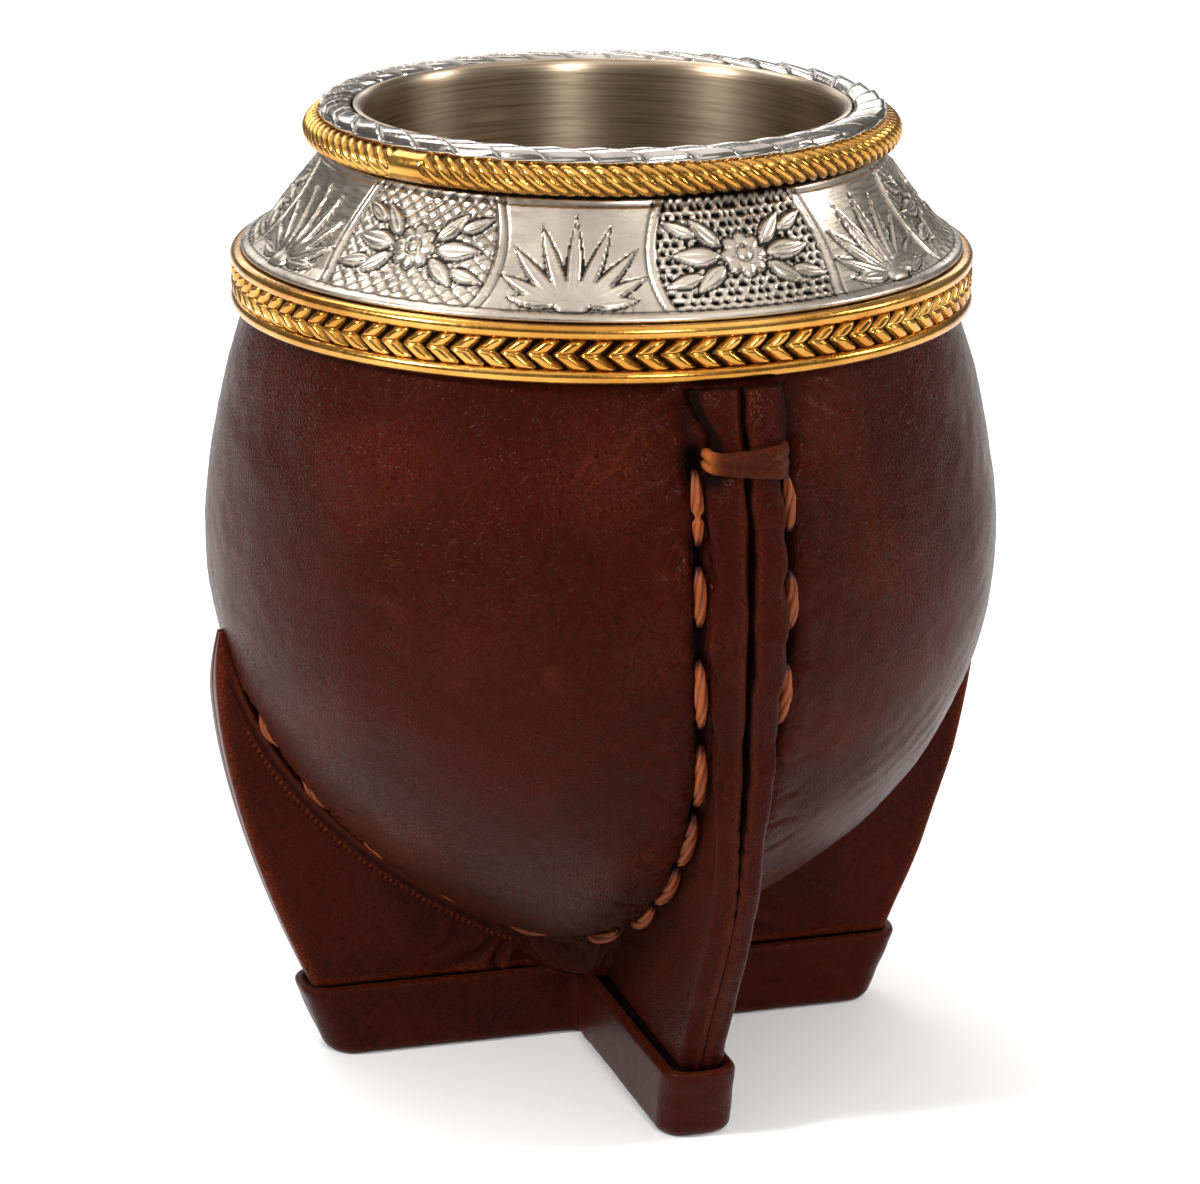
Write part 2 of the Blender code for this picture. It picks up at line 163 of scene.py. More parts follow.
def grid(points: Array, closed: tuple[bool, bool], capped: bool = False, **fields: Array) -> Shape:
    """Rows of points as quads: point (i, j) joins (i, j + 1) and (i + 1, j).

    Args:
        points: Places, (rows, columns, 3).
        closed: Whether the last row joins the first, and the last column the first.
        capped: Whether the first and last rows are closed by a fan about their middle.
        fields: Named numbers, (rows, columns), kept with the points.

    Returns:
        The shape.
    """
    rows, columns = points.shape[:2]
    i = np.arange(rows if closed[0] else rows - 1)[:, None]
    j = np.arange(columns if closed[1] else columns - 1)[None, :]
    below, beside = (i + 1) % rows, (j + 1) % columns
    quads = np.stack(
        [i * columns + j, i * columns + beside, below * columns + beside, below * columns + j], axis=-1
    ).reshape(-1, 4)
    flat, kept = points.reshape(-1, 3), {name: value.reshape(-1) for name, value in fields.items()}
    if not capped:
        return Shape(flat, quads, fields=kept)
    ring = np.arange(columns)
    after, last = (ring + 1) % columns, (rows - 1) * columns
    centre = np.full(columns, rows * columns)
    tris = np.vstack(
        [
            np.stack([ring, centre, after], axis=1),
            np.stack([last + ring, last + after, centre + 1], axis=1),
        ]
    )
    flat = np.vstack([flat, points[0].mean(axis=0), points[-1].mean(axis=0)])
    ends = {name: [value[0].mean(), value[-1].mean()] for name, value in fields.items()}
    kept = {name: np.concatenate([value, ends[name]]) for name, value in kept.items()}
    return Shape(flat, quads, tris, kept)


def capped_tube(points: Array, inside: Array | tuple[float, float, float], **fields: Array) -> Shape:
    """Rings of points, (rows, columns, 3), as a body closed at both ends, with a point inside given."""
    return grid(points, (False, True), True, **fields).outward(inside)


def closed_ring(points: Array, inside: tuple[float, float, float], hollow: Array) -> Shape:
    """A section's points, (rows, columns, 3), carried all the way round, with a point inside given."""
    return grid(points, (True, True), hollow=hollow).outward(inside)


def smooth(x: Array, low: float, high: float) -> Array:
    """0 below low, 1 above high, and 3t^2 - 2t^3 between."""
    t = np.clip((x - low) / (high - low), 0.0, 1.0)
    return t * t * (3 - 2 * t)


def mound(x: Array, width: float) -> Array:
    """A bell of height 1: e to the minus (x / width) squared."""
    return np.exp(-((x / width) ** 2))


def arch(x: Array, power: float | Array = 2.0) -> Array:
    """The square root of 1 less a power of x's size, and 0 where that is below 0."""
    return np.sqrt(np.clip(1 - np.abs(x) ** power, 0.0, 1.0))


def bowed(x: Array, power: float) -> Array:
    """A power of x's size that keeps x's sign."""
    return np.sign(x) * np.abs(x) ** power


def quarter(count: int) -> Array:
    """Angles from 0 to a quarter turn."""
    return np.linspace(0.0, math.pi / 2, count)


def waves(points: Array, length: float, seed: int, terms: int = 18) -> Array:
    """Soft random relief: a sum of cosines along random directions, scaled to a spread of about 1.

    Args:
        points: Places, (..., 3).
        length: The usual distance between crests.
        seed: Chooses the directions and phases.
        terms: How many cosines.

    Returns:
        The relief at each place.
    """
    rng = np.random.default_rng(seed)
    ways = rng.normal(size=(terms, 3))
    ways *= (TAU / (length * rng.uniform(0.7, 1.5, terms)) / np.linalg.norm(ways, axis=1))[:, None]
    phases = rng.uniform(0.0, TAU, terms)
    total = np.zeros(points.shape[:-1])
    for way, phase in zip(ways, phases):
        total += np.cos(points @ way + phase)
    return total * math.sqrt(2 / terms)


def evenly(line: Array, count: int) -> Array:
    """Points spaced evenly by length along a polyline.

    Args:
        line: Its points, (n, k).
        count: How many points to give.

    Returns:
        The points, (count, k).
    """
    along = lengths(line)
    steps = np.linspace(0.0, along[-1], count)
    return np.stack([np.interp(steps, along, line[:, k]) for k in range(line.shape[1])], axis=1)


def lengths(line: Array) -> Array:
    """The length of a polyline up to each of its points."""
    return np.concatenate([[0.0], np.cumsum(np.linalg.norm(np.diff(line, axis=0), axis=1))])


def unit(vectors: Array) -> Array:
    """Vectors scaled to length 1."""
    return vectors / np.linalg.norm(vectors, axis=-1, keepdims=True)


def around_axis(radius: Array, z: Array, angle: Array) -> Array:
    """Places at a radius and height, where angle 0 is -Y and a quarter turn is +X."""
    return np.stack(np.broadcast_arrays(radius * np.sin(angle), -radius * np.cos(angle), z), axis=-1)


def turned_profile(profile: Array, columns: int) -> tuple[Array, Array, Array]:
    """The radius, height and angle grids of a profile turned about Z.

    Args:
        profile: (radius, z) points, (rows, 2).
        columns: How many steps round.

    Returns:
        Radius, height and angle, each (rows, columns).
    """
    angle = np.arange(columns) * TAU / columns
    shape = np.ones((len(profile), columns))
    return profile[:, :1] * shape, profile[:, 1:] * shape, angle[None, :] * shape


def profile_normals(profile: Array) -> Array:
    """The unit direction, in (radius, z), square to a profile at each of its points."""
    run = np.gradient(profile, axis=0)
    return unit(np.stack([run[:, 1], -run[:, 0]], axis=1))


def put(name: str, data: bpy.types.ID, axes: tuple[Array, ...] = ()) -> bpy.types.Object:
    """Puts an object into the scene.

    Args:
        name: Its name.
        data: Its mesh, light or camera.
        axes: Where its own X, Y and Z point, and then its place in metres, or nothing for no turn.

    Returns:
        The object.
    """
    thing = bpy.data.objects.new(name, data)
    if axes:
        frame = np.eye(4)
        frame[:3] = np.stack(axes, axis=1)
        thing.matrix_world = Matrix(frame.tolist())
    bpy.context.collection.objects.link(thing)
    return thing


def add_piece(
    name: str,
    shape: Shape,
    material: Material,
    nodes: tuple[str, ...] = (),
    crease: float | None = None,
) -> bpy.types.Object:
    """Makes the mesh, in metres, and puts the piece on the cup.

    Args:
        name: The piece's name.
        shape: What it is made from.
        material: Its finish.
        nodes: The CAD nodes that it stands for.
        crease: Edges sharper than this many degrees stay sharp.

    Returns:
        The object.
    """
    mesh = bpy.data.meshes.new(name)
    corners = np.concatenate([shape.quads.ravel(), shape.tris.ravel()]).astype(np.int32)
    starts = np.concatenate(
        [np.arange(len(shape.quads)) * 4, len(shape.quads) * 4 + np.arange(len(shape.tris)) * 3]
    ).astype(np.int32)
    mesh.vertices.add(len(shape.points))
    mesh.vertices.foreach_set("co", (shape.points * MM).astype(np.float32).ravel())
    mesh.loops.add(len(corners))
    mesh.loops.foreach_set("vertex_index", corners)
    mesh.polygons.add(len(starts))
    mesh.polygons.foreach_set("loop_start", starts)
    mesh.update(calc_edges=True)
    mesh.validate()
    mesh.shade_smooth()
    if crease is not None:
        mesh.set_sharp_from_angle(angle=math.radians(crease))
    for field_name, values in shape.fields.items():
        attribute = mesh.attributes.new(field_name, "FLOAT", "POINT")
        attribute.data.foreach_set("value", values.astype(np.float32))
    mesh.materials.append(material)
    piece = put(name, mesh)
    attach(piece, "root")
    if nodes:
        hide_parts(*nodes)
    LOG.info("%s: %d points, %d faces", name, len(shape.points), len(starts))
    return piece


# Finishes


def linear(hex_colour: str) -> tuple[float, float, float, float]:
    """An sRGB hex value as the linear colour that the shader works in.

    Args:
        hex_colour: Six hex digits after a hash.

    Returns:
        Red, green, blue and an alpha of 1.
    """
    parts = [int(hex_colour[i : i + 2], 16) / 255 for i in (1, 3, 5)]
    red, green, blue = (p / 12.92 if p <= 0.04045 else ((p + 0.055) / 1.055) ** 2.4 for p in parts)
    return (red, green, blue, 1.0)


def per_metre(size_mm: float) -> float:
    """The texture scale that gives a pattern one repeat in this many millimetres."""
    return 1 / (size_mm * MM)


class Nodes:
    """A node tree in the making."""

    def __init__(self, tree: bpy.types.NodeTree) -> None:
        """Keeps the tree."""
        self.tree = tree

    def add(
        self,
        kind: str,
        settings: dict[str, object] | None = None,
        inputs: dict[int | str, object] | None = None,
        stops: tuple[tuple[float, float | str], ...] = (),
    ) -> bpy.types.Node:
        """Adds one node.

        Args:
            kind: The node's type, without "ShaderNode".
            settings: Its properties.
            inputs: Values or output sockets, for its inputs by name or number.
            stops: For a colour ramp, its positions with a grey level or a hex colour each.

        Returns:
            The node.
        """
        node = self.tree.nodes.new("ShaderNode" + kind)
        for name, value in (settings or {}).items():
            setattr(node, name, value)
        for name, value in (inputs or {}).items():
            if isinstance(value, Socket):
                self.tree.links.new(value, node.inputs[name])
            else:
                node.inputs[name].default_value = value
        for number, (position, value) in enumerate(stops):
            elements = node.color_ramp.elements
            element = elements[number] if number < 2 else elements.new(position)
            element.position = position
            element.color = linear(value) if isinstance(value, str) else (value, value, value, 1.0)
        return node

    def ramp(self, source: Socket, *stops: tuple[float, float | str]) -> Socket:
        """A value's colour or grey, by a ramp."""
        return self.add("ValToRGB", inputs={"Fac": source}, stops=stops).outputs[0]


class Recipe(Nodes):
    """A material in the making: one Principled surface and the nodes that feed it."""

    def __init__(self, name: str, **surface: object) -> None:
        """Starts the material.

        Args:
            name: The material's name.
            surface: Values for the Principled sockets, with _ for a space.
        """
        self.material = bpy.data.materials.new(name)
        self.material.use_nodes = True
        super().__init__(self.material.node_tree)
        self.surface = self.tree.nodes["Principled BSDF"]
        for socket, value in surface.items():
            self.surface.inputs[socket.replace("_", " ")].default_value = value

    def place(self) -> Socket:
        """The place on the object, in metres."""
        return self.add("TexCoord").outputs["Object"]

    def point_field(self, name: str) -> Socket:
        """A number that the mesh carries at each point."""
        return self.add("Attribute", {"attribute_name": name}).outputs["Fac"]

    def noise(self, place: Socket, size_mm: float, detail: float = 2.0, rough: float = 0.5) -> bpy.types.Node:
        """A noise with one blob in this many millimetres."""
        inputs = {"Vector": place, "Scale": per_metre(size_mm), "Detail": detail, "Roughness": rough}
        return self.add("TexNoise", inputs=inputs)

    def cell_edges(self, place: Socket, size_mm: float) -> Socket:
        """How far the nearest border between cells of this size is."""
        inputs = {"Vector": place, "Scale": per_metre(size_mm)}
        return self.add("TexVoronoi", {"feature": "DISTANCE_TO_EDGE"}, inputs).outputs["Distance"]

    def swayed(self, place: Socket, warp: Socket, by_mm: float) -> Socket:
        """The place, pushed about by a noise's colour."""
        inputs = {0: warp, 1: (by_mm * MM,) * 3, 2: place}
        return self.add("VectorMath", {"operation": "MULTIPLY_ADD"}, inputs).outputs[0]

    def product(self, first: Socket, second: Socket) -> Socket:
        """Two values multiplied."""
        return self.add("Math", {"operation": "MULTIPLY"}, {0: first, 1: second}).outputs[0]

    def plus(self, base: Socket, added: Socket, share: float, clamp: bool = False) -> Socket:
        """A value plus a share of another, held to 0 to 1 where clamp says so."""
        settings = {"operation": "MULTIPLY_ADD", "use_clamp": clamp}
        return self.add("Math", settings, {0: added, 1: share, 2: base}).outputs[0]

    def spread(self, source: Socket, ends: tuple[float, float]) -> Socket:
        """A noise's usual reach, 0.3 to 0.7, drawn out to run between the ends given."""
        return self.add("MapRange", inputs={0: source, 1: 0.3, 2: 0.7, 3: ends[0], 4: ends[1]}).outputs[0]

    def towards(self, colour: Socket, other: str, amount: Socket) -> Socket:
        """A colour taken towards a hex value."""
        return self.add("Mix", {"data_type": "RGBA"}, {0: amount, 6: colour, 7: linear(other)}).outputs[2]

    def finish(
        self, colour: Socket, relief: Socket, relief_mm: float, strength: float, **more: Socket
    ) -> Material:
        """Links the surface's colour, its relief and what else is given.

        Args:
            colour: The base colour.
            relief: The bump's height.
            relief_mm: What a height of 1 stands for.
            strength: The bump's strength.
            more: Sources for other Principled sockets.

        Returns:
            The material.
        """
        inputs = {"Height": relief, "Distance": relief_mm * MM, "Strength": strength}
        more |= {"Base Color": colour, "Normal": self.add("Bump", inputs=inputs).outputs[0]}
        for socket, source in more.items():
            self.tree.links.new(source, self.surface.inputs[socket])
        return self.material


@dataclass(frozen=True)
class OxbloodLeather:
    """Vegetable-tanned hide, dyed oxblood, wetted, stretched over the gourd and waxed.

    The eye sees a deep red-brown with a very fine polished grain, a soft wax gloss, paler worn
    places, a painted highlight beside the seam lips' slit edges, painted shade in slits, holes,
    grooves and creases, and thin reddish scratches.

    Attributes:
        deep: The darkest dye.
        body: The usual dye.
        rubbed_and_highlight: Where rubbing has taken the dye off, and the painted highlight beside the seam
            lips' slit edges.
        hollow: Painted shade inside slits, holes, grooves and creases.
        grain_mm: The polished grain, drawn a little coarse so that it shows.
        pore_mm: The pores.
        crumple_mm: The shallow wrinkles that the stretching left.
        crumple: How deep those are.
        patch_mm: The patches where they are deeper.
        warp_mm: How often the grain bends.
        mottle_mm: The dye's clouds.
        scratch_mm: The gaps between scratches.
        scratch_patch_mm: The patches that are scratched.
        scratched: How much the scratches show.
        polish: The wax's specular level.
        gloss: The lowest and highest roughness.
        relief_mm: The bump's height.
    """

    name: str
    deep: str = "#1d0503"
    body: str = "#2a0603"
    rubbed_and_highlight: str = "#7a3319"
    hollow: str = "#050202"
    grain_mm: float = 0.46
    pore_mm: float = 0.55
    crumple_mm: float = 1.0
    crumple: float = 0.75
    patch_mm: float = 14.0
    warp_mm: float = 3.2
    mottle_mm: float = 22.0
    scratch_mm: float = 4.4
    scratch_patch_mm: float = 9.0
    scratched: float = 0.12
    polish: float = 0.068
    gloss: tuple[float, float] = (0.26, 0.34)
    relief_mm: float = 0.09

    def scratches(self, recipe: Recipe, place: Socket, warp: Socket) -> Socket:
        """Thin lines: the borders of three sets of long cells, each leaning another way, in patches.

        Args:
            recipe: The material.
            place: The place on the object.
            warp: The noise that bends them.

        Returns:
            1 on a scratch and 0 elsewhere.
        """
        swayed = recipe.swayed(place, warp, 0.6)
        patches = recipe.noise(place, self.scratch_patch_mm).outputs["Fac"]
        sets = []
        for lean, size in ((-0.7, 1.0), (0.2, 1.4), (1.0, 0.8)):
            inputs = {"Vector": swayed, "Rotation": (0.3, lean, 0.0), "Scale": (size, size, 26.0)}
            drawn_out = recipe.add("Mapping", {"vector_type": "TEXTURE"}, inputs).outputs[0]
            sets.append(recipe.ramp(recipe.cell_edges(drawn_out, self.scratch_mm), (0.0, 1.0), (0.016, 0.0)))
        first = recipe.add("Math", {"operation": "MAXIMUM"}, {0: sets[0], 1: sets[1]}).outputs[0]
        every = recipe.add("Math", {"operation": "MAXIMUM"}, {0: first, 1: sets[2]}).outputs[0]
        return recipe.product(every, recipe.ramp(patches, (0.5, 0.0), (0.68, 1.0)))

    def make(self) -> Material:
        """Builds the material.

        Returns:
            The material.
        """
        recipe = Recipe(
            self.name,
            Specular_IOR_Level=self.polish,
            Specular_Tint=(1.0, 0.54, 0.42, 1.0),
            Sheen_Weight=0.025,
            Sheen_Roughness=0.4,
            Sheen_Tint=(1.0, 0.5, 0.28, 1.0),
        )
        place = recipe.place()
        warp = recipe.noise(place, self.warp_mm, 3.0).outputs["Color"]
        bent = recipe.swayed(place, warp, 1.6)
        fine = recipe.ramp(recipe.cell_edges(bent, self.grain_mm), (0.0, 0.0), (0.16, 1.0))
        wrinkles = recipe.noise(bent, self.crumple_mm * 2, 3.0, 0.6)
        wrinkles.noise_type = "RIDGED_MULTIFRACTAL"
        pores = recipe.noise(bent, self.pore_mm, 3.0, 0.6).outputs["Fac"]
        mottle = recipe.noise(place, self.mottle_mm, 6.0, 0.6).outputs["Fac"]
        patchy = recipe.ramp(recipe.noise(place, self.patch_mm).outputs["Fac"], (0.35, 0.25), (0.65, 1.0))
        amount = recipe.plus(recipe.point_field("creased"), patchy, self.crumple)
        folded = recipe.product(wrinkles.outputs["Fac"], amount)
        relief = recipe.plus(recipe.plus(folded, fine, 0.45), pores, 0.2)
        shade = recipe.plus(recipe.plus(mottle, fine, 0.1), pores, 0.7)
        dyed = recipe.ramp(shade, (0.66, self.deep), (1.12, self.body))
        rub_and_highlight = recipe.product(recipe.point_field("wear"), fine)
        rub_and_highlight = recipe.plus(rub_and_highlight, self.scratches(recipe, place, warp), self.scratched, clamp=True)
        # Painted shade: the hollow field takes the colour to near black in slits, holes, grooves and creases.
        # The worn colour also paints a highlight beside the seam lips' slit edges.
        hollow = recipe.point_field("hollow")
        colour = recipe.towards(recipe.towards(dyed, self.rubbed_and_highlight, rub_and_highlight), self.hollow, hollow)
        low, high = self.gloss
        shine = recipe.plus(recipe.spread(mottle, (high, low)), hollow, 0.4, clamp=True)
        return recipe.finish(colour, relief, self.relief_mm, 1.0, Roughness=shine)


@dataclass(frozen=True)
class WaxedThread:
    """Linen thread of four plies, laid and drawn through wax: tan, with dull fibres and a waxy edge."""

    name: str = "waxed_thread"
    light: str = "#8c4621"
    dark: str = "#32100a"
    fibre_mm: float = 0.16
    soil_mm: float = 7.0
    relief_mm: float = 0.05

    def make(self) -> Material:
        """Builds the material.

        Returns:
            The material.
        """
        recipe = Recipe(self.name, Roughness=0.46, Specular_IOR_Level=0.16)
        place = recipe.place()
        fibres = recipe.noise(place, self.fibre_mm, 3.0).outputs["Fac"]
        shade = recipe.plus(recipe.noise(place, self.soil_mm).outputs["Fac"], fibres, 0.5)
        # Painted shade: the hollow field darkens the grooves between plies and the ends where the thread
        # dives into its holes.
        inputs = {0: shade, 1: recipe.point_field("hollow")}
        shade = recipe.add("Math", {"operation": "SUBTRACT"}, inputs).outputs[0]
        colour = recipe.ramp(shade, (0.1, self.dark), (0.9, self.light))
        return recipe.finish(colour, fibres, self.relief_mm, 0.6)


@dataclass(frozen=True)
class ChasedMetal:
    """Metal worked with hammer and punch, and left dark where the polish didn't reach.

    The eye sees bright worn high places, a soft burnish, and hollows that go brown or black. The same dark
    colour also paints shade where a piece's hollow field asks for it.
    """

    name: str
    bright: str
    dull: str
    tarnish_and_shade: str
    rough: tuple[float, float] = (0.2, 0.34)
    burnish_mm: float = 0.5
    streak: float = 1.0
    cloud_mm: float = 9.0
    relief_mm: float = 0.03

    def make(self) -> Material:
        """Builds the material.

        Returns:
            The material.
        """
        recipe = Recipe(self.name, Metallic=1.0)
        place = recipe.place()
        cloudy = recipe.noise(place, self.cloud_mm, 4.0).outputs["Fac"]
        inputs = {"Vector": place, "Scale": (self.streak, self.streak, 1.0)}
        level = recipe.add("Mapping", inputs=inputs).outputs[0]
        burnish = recipe.noise(level, self.burnish_mm, 3.0).outputs["Fac"]
        hollow = recipe.point_field("hollow")
        clean = recipe.ramp(cloudy, (0.32, self.dull), (0.66, self.bright))
        dulled = recipe.plus(recipe.spread(burnish, self.rough), hollow, 0.35, clamp=True)
        # The dark colour also paints shade: the rim ring's lobe ends and skirt line, and the collar's border
        # lines.
        colour = recipe.towards(clean, self.tarnish_and_shade, hollow)
        return recipe.finish(colour, burnish, self.relief_mm, 0.5, Roughness=dulled)


@dataclass(frozen=True)
class BrushedSteel:
    """Stainless sheet, spun to a cup and brushed round its wall: fine level lines in a warm grey."""

    name: str = "brushed_steel"
    light: str = "#bfab93"
    dark: str = "#806f5a"
    line_mm: float = 0.35
    rough: tuple[float, float] = (0.4, 0.32)
    relief_mm: float = 0.02

    def make(self) -> Material:
        """Builds the material, whose lines follow the height on the wall and the radius on the floor.

        Returns:
            The material.
        """
        recipe = Recipe(self.name, Metallic=1.0, Anisotropic=0.74, Anisotropic_Rotation=0.25)
        place = recipe.place()
        flat = recipe.add("Mapping", inputs={"Vector": place, "Scale": (1.0, 1.0, 0.0)}).outputs[0]
        radius = recipe.add("VectorMath", {"operation": "LENGTH"}, {0: flat}).outputs["Value"]
        ringed = recipe.add("CombineXYZ", inputs={"Z": radius}).outputs[0]
        level = recipe.add("Mapping", inputs={"Vector": place, "Scale": (0.03, 0.03, 1.0)}).outputs[0]
        level = recipe.add("VectorMath", {"operation": "ADD"}, {0: level, 1: ringed}).outputs[0]
        lines = recipe.noise(level, self.line_mm, 4.0).outputs["Fac"]
        colour = recipe.ramp(lines, (0.3, self.dark), (0.7, self.light))
        round_axis = recipe.add("Tangent", {"direction_type": "RADIAL", "axis": "Z"}).outputs[0]
        rough = recipe.spread(lines, self.rough)
        return recipe.finish(colour, lines, self.relief_mm, 0.6, Roughness=rough, Tangent=round_axis)


@dataclass(frozen=True)
class Finishes:
    """The cup's finishes."""

    belly: Material
    smooth_leather: Material
    strap: Material
    thread: Material
    gilt: Material
    antique: Material
    bright: Material
    steel: Material

    @staticmethod
    def make() -> Finishes:
        """Builds them all.

        Returns:
            The finishes.
        """
        return Finishes(
            belly=OxbloodLeather("oxblood_leather_stretched").make(),
            smooth_leather=OxbloodLeather(
                "oxblood_leather_flat", deep="#180403", body="#2e0a06",
                crumple=0.3, scratched=0.08, polish=0.07, relief_mm=0.05,
            ).make(),
            strap=OxbloodLeather(
                "oxblood_leather_strap", deep="#220704", body="#3a0f07", rubbed_and_highlight="#b5622e", grain_mm=0.12,
                crumple_mm=0.6, crumple=1.6, polish=0.08, gloss=(0.2, 0.28), relief_mm=0.035,
            ).make(),
            thread=WaxedThread().make(),
            gilt=ChasedMetal("gilt_brass", "#dca856", "#aa7028", "#160a03", (0.15, 0.27)).make(),
            antique=ChasedMetal(
                "antique_silver", "#c8bcad", "#9c9184", "#110d0a", (0.22, 0.4), burnish_mm=0.3, streak=0.12
            ).make(),
            bright=ChasedMetal("bright_silver", "#cfc6bd", "#978d83", "#17120f", (0.10, 0.2)).make(),
            steel=BrushedSteel().make(),
        )


# Leather


@dataclass(frozen=True)
class Gourd:
    """The belly's outline, as the CAD has it."""

    radius: float = 47.5
    widest_z: float = 65.5
    crown_height: float = 66.7
    crown_power: float = 1.643
    keel_height: float = 55.4
    keel_powers: tuple[float, float] = (2.323, 1.255)

    def radius_at(self, z: Array) -> Array:
        """The radius at a height: a power curve above the widest place and a superellipse below."""
        down, out = self.keel_powers
        rise = np.clip((z - self.widest_z) / self.crown_height, 0.0, 1.0)
        fall = np.clip((self.widest_z - z) / self.keel_height, 0.0, 1.0)
        crown = np.sqrt(1 - rise**self.crown_power)
        keel = (1 - fall**down) ** (1 / out)
        return self.radius * np.where(z >= self.widest_z, crown, keel)

    def underside(self, radius: Array) -> Array:
        """The height of the lower half at a radius: the superellipse, solved the other way."""
        down, out = self.keel_powers
        return self.widest_z - self.keel_height * (1 - (radius / self.radius) ** out) ** (1 / down)

    def normal(self, points: Array) -> Array:
        """The direction out of the surface: the radius, tipped by the outline's slope."""
        z = points[..., 2]
        slope = self.radius_at(z + 0.5) - self.radius_at(z - 0.5)
        radius = np.hypot(points[..., 0], points[..., 1])
        return unit(np.stack([points[..., 0], points[..., 1], -slope * radius], axis=-1))


@dataclass(frozen=True)
class SeamLine:
    """Where the front seam's lips and fin run, in the front's own frame."""

    gourd: Gourd = Gourd()
    top: float = 91.3
    foot_top: float = 8.9
    shift: float = 3.0
    shift_at_foot: float = 1.1
    straight_z: float = 32.0
    lip_rise: float = 2.0
    lip_half: float = 4.5
    widens: tuple[float, float] = (38.0, 64.0)
    lip_flare: float = 1.0
    flares_from: float = 83.0
    fin_half: float = 2.8
    horn_z: float = 54.0
    horn_curl: float = 0.8
    shoulder: tuple[float, float] = (47.8, 47.5)
    splay_power: float = 1.62
    seam_splay: float = 8.7
    side_splay: float = 11.0
    root: float = 5.2
    turn_z: float = 20.0

    def centre(self, z: Array) -> Array:
        """The seam's offset to +X at a height: from the foot's offset to the belly's by a soft step."""
        step = smooth(z, self.foot_top, self.straight_z)
        return self.shift_at_foot + (self.shift - self.shift_at_foot) * step

    def half(self, z: Array) -> Array:
        """Half the seam's width: the fin's, then the lips' above, then the flare under the band."""
        lips = self.fin_half + (self.lip_half - self.fin_half) * smooth(z, *self.widens)
        return lips + self.lip_flare * smooth(z, self.flares_from, self.top)

    def fin_edge(self, z: Array, splay: float) -> Array:
        """A fin's reach: the shoulder's, less a power of the drop below it and a square of the rise above."""
        reach, level = self.shoulder
        below = np.clip(level - z, 0.0, None) / (level - self.foot_top)
        above = np.clip(z - level, 0.0, None) / (self.horn_z - level)
        return reach - splay * below**self.splay_power - self.horn_curl * above**2

    def seam_edge(self, z: Array) -> Array:
        """The seam's reach: the lips' rise over the belly, or the fin's where that is more."""
        lip = self.gourd.radius_at(z) + self.lip_rise
        return np.where(z < self.gourd.widest_z, np.maximum(lip, self.fin_edge(z, self.seam_splay)), lip)

    def outlines(self, top: float, edge: Array, edge_z: Array, rows: int) -> tuple[Array, Array]:
        """Matching points on the belly and on a fin's edge, in (radius, z), from its top to the foot.

        Args:
            top: The height that both start from.
            edge: The fin's reach at each of edge_z.
            edge_z: Heights from the top down to the foot.
            rows: How many pairs.

        Returns:
            The belly's points and the edge's, each (rows, 2), evenly spaced.
        """
        z = np.linspace(top, self.turn_z, 80)
        turn_radius = float(self.gourd.radius_at(np.array(self.turn_z)))
        r = np.linspace(turn_radius, self.root, 80)[1:]
        inner = np.vstack(
            [np.stack([self.gourd.radius_at(z), z], axis=1), np.stack([r, self.gourd.underside(r)], axis=1)]
        )
        outer = np.vstack([np.stack([edge, edge_z], axis=1), [[self.root, edge_z[-1]]]])
        return evenly(inner, rows), evenly(outer, rows)


@dataclass(frozen=True)
class SewnRow:
    """Stitches along a thread's line, each from a hole to a hole.

    Attributes:
        first: How far down the line the first starts.
        pitch: From the start of one to the start of the next.
        spans: The length of each that shows, in order.
        pinch: Where the first one is pinched, as a part of its length, or 0.
    """

    first: float
    pitch: float
    spans: tuple[float, ...]
    pinch: float = 0.0

    def ends(self) -> Array:
        """The start and end of each stitch along the line, (count, 2)."""
        starts = self.first + self.pitch * np.arange(len(self.spans))
        return np.stack([starts, starts + np.array(self.spans)], axis=1)


@dataclass(frozen=True)
class ThreadLine:
    """The line of one row of stitches: down beside the seam, round the corner, up by the side fin."""

    side: int
    row: SewnRow
    seam: SeamLine = SeamLine()
    beside: float = 0.92
    top_z: float = 89.0
    turn_radius: float = 26.0
    end_z: float = 46.0
    down_points: int = 220
    corner_points: int = 60

    def line(self) -> Array:
        """Its points on the belly: two level-by-level runs, joined by a hollow quarter arc.

        Returns:
            Points, (count, 3).
        """
        seam, gourd = self.seam, self.seam.gourd
        turn_z = float(gourd.underside(np.array(self.turn_radius)))
        z = np.linspace(self.top_z, turn_z, self.down_points)
        x = seam.centre(z) + self.side * (seam.half(z) + self.beside)
        down = np.stack([x, np.sqrt(gourd.radius_at(z) ** 2 - x * x), z], axis=1)
        start_x, start_u = down[-1, :2]
        fin_u = seam.fin_half + self.beside
        fin_x = self.side * math.sqrt(self.turn_radius**2 - fin_u**2)
        a = quarter(self.corner_points)[1:]
        x = fin_x + (start_x - fin_x) * np.cos(a)
        u = start_u + (fin_u - start_u) * np.sin(a)
        corner = np.stack([x, u, gourd.underside(np.hypot(x, u))], axis=1)
        z = np.linspace(turn_z, self.end_z, 90)[1:]
        x = self.side * np.sqrt(gourd.radius_at(z) ** 2 - fin_u**2)
        up = np.stack([x, np.full_like(z, fin_u), z], axis=1)
        return np.vstack([down, corner, up]) * (1.0, -1.0, 1.0)

    def nearest(self, points: Array) -> tuple[Array, Array]:
        """How far each point is from the line, and how far down the line that is.

        Args:
            points: Places, (count, 3).

        Returns:
            Distance and length along, each (count,).
        """
        line = self.line().astype(np.float32)
        along = lengths(line)
        nearest, best = np.empty(len(points)), np.empty(len(points), np.int64)
        for part in np.array_split(np.arange(len(points)), 24):
            gap = ((points[part, None, :].astype(np.float32) - line[None]) ** 2).sum(axis=-1)
            best[part] = gap.argmin(axis=1)
            nearest[part] = np.sqrt(gap.min(axis=1))
        return nearest, along[best]


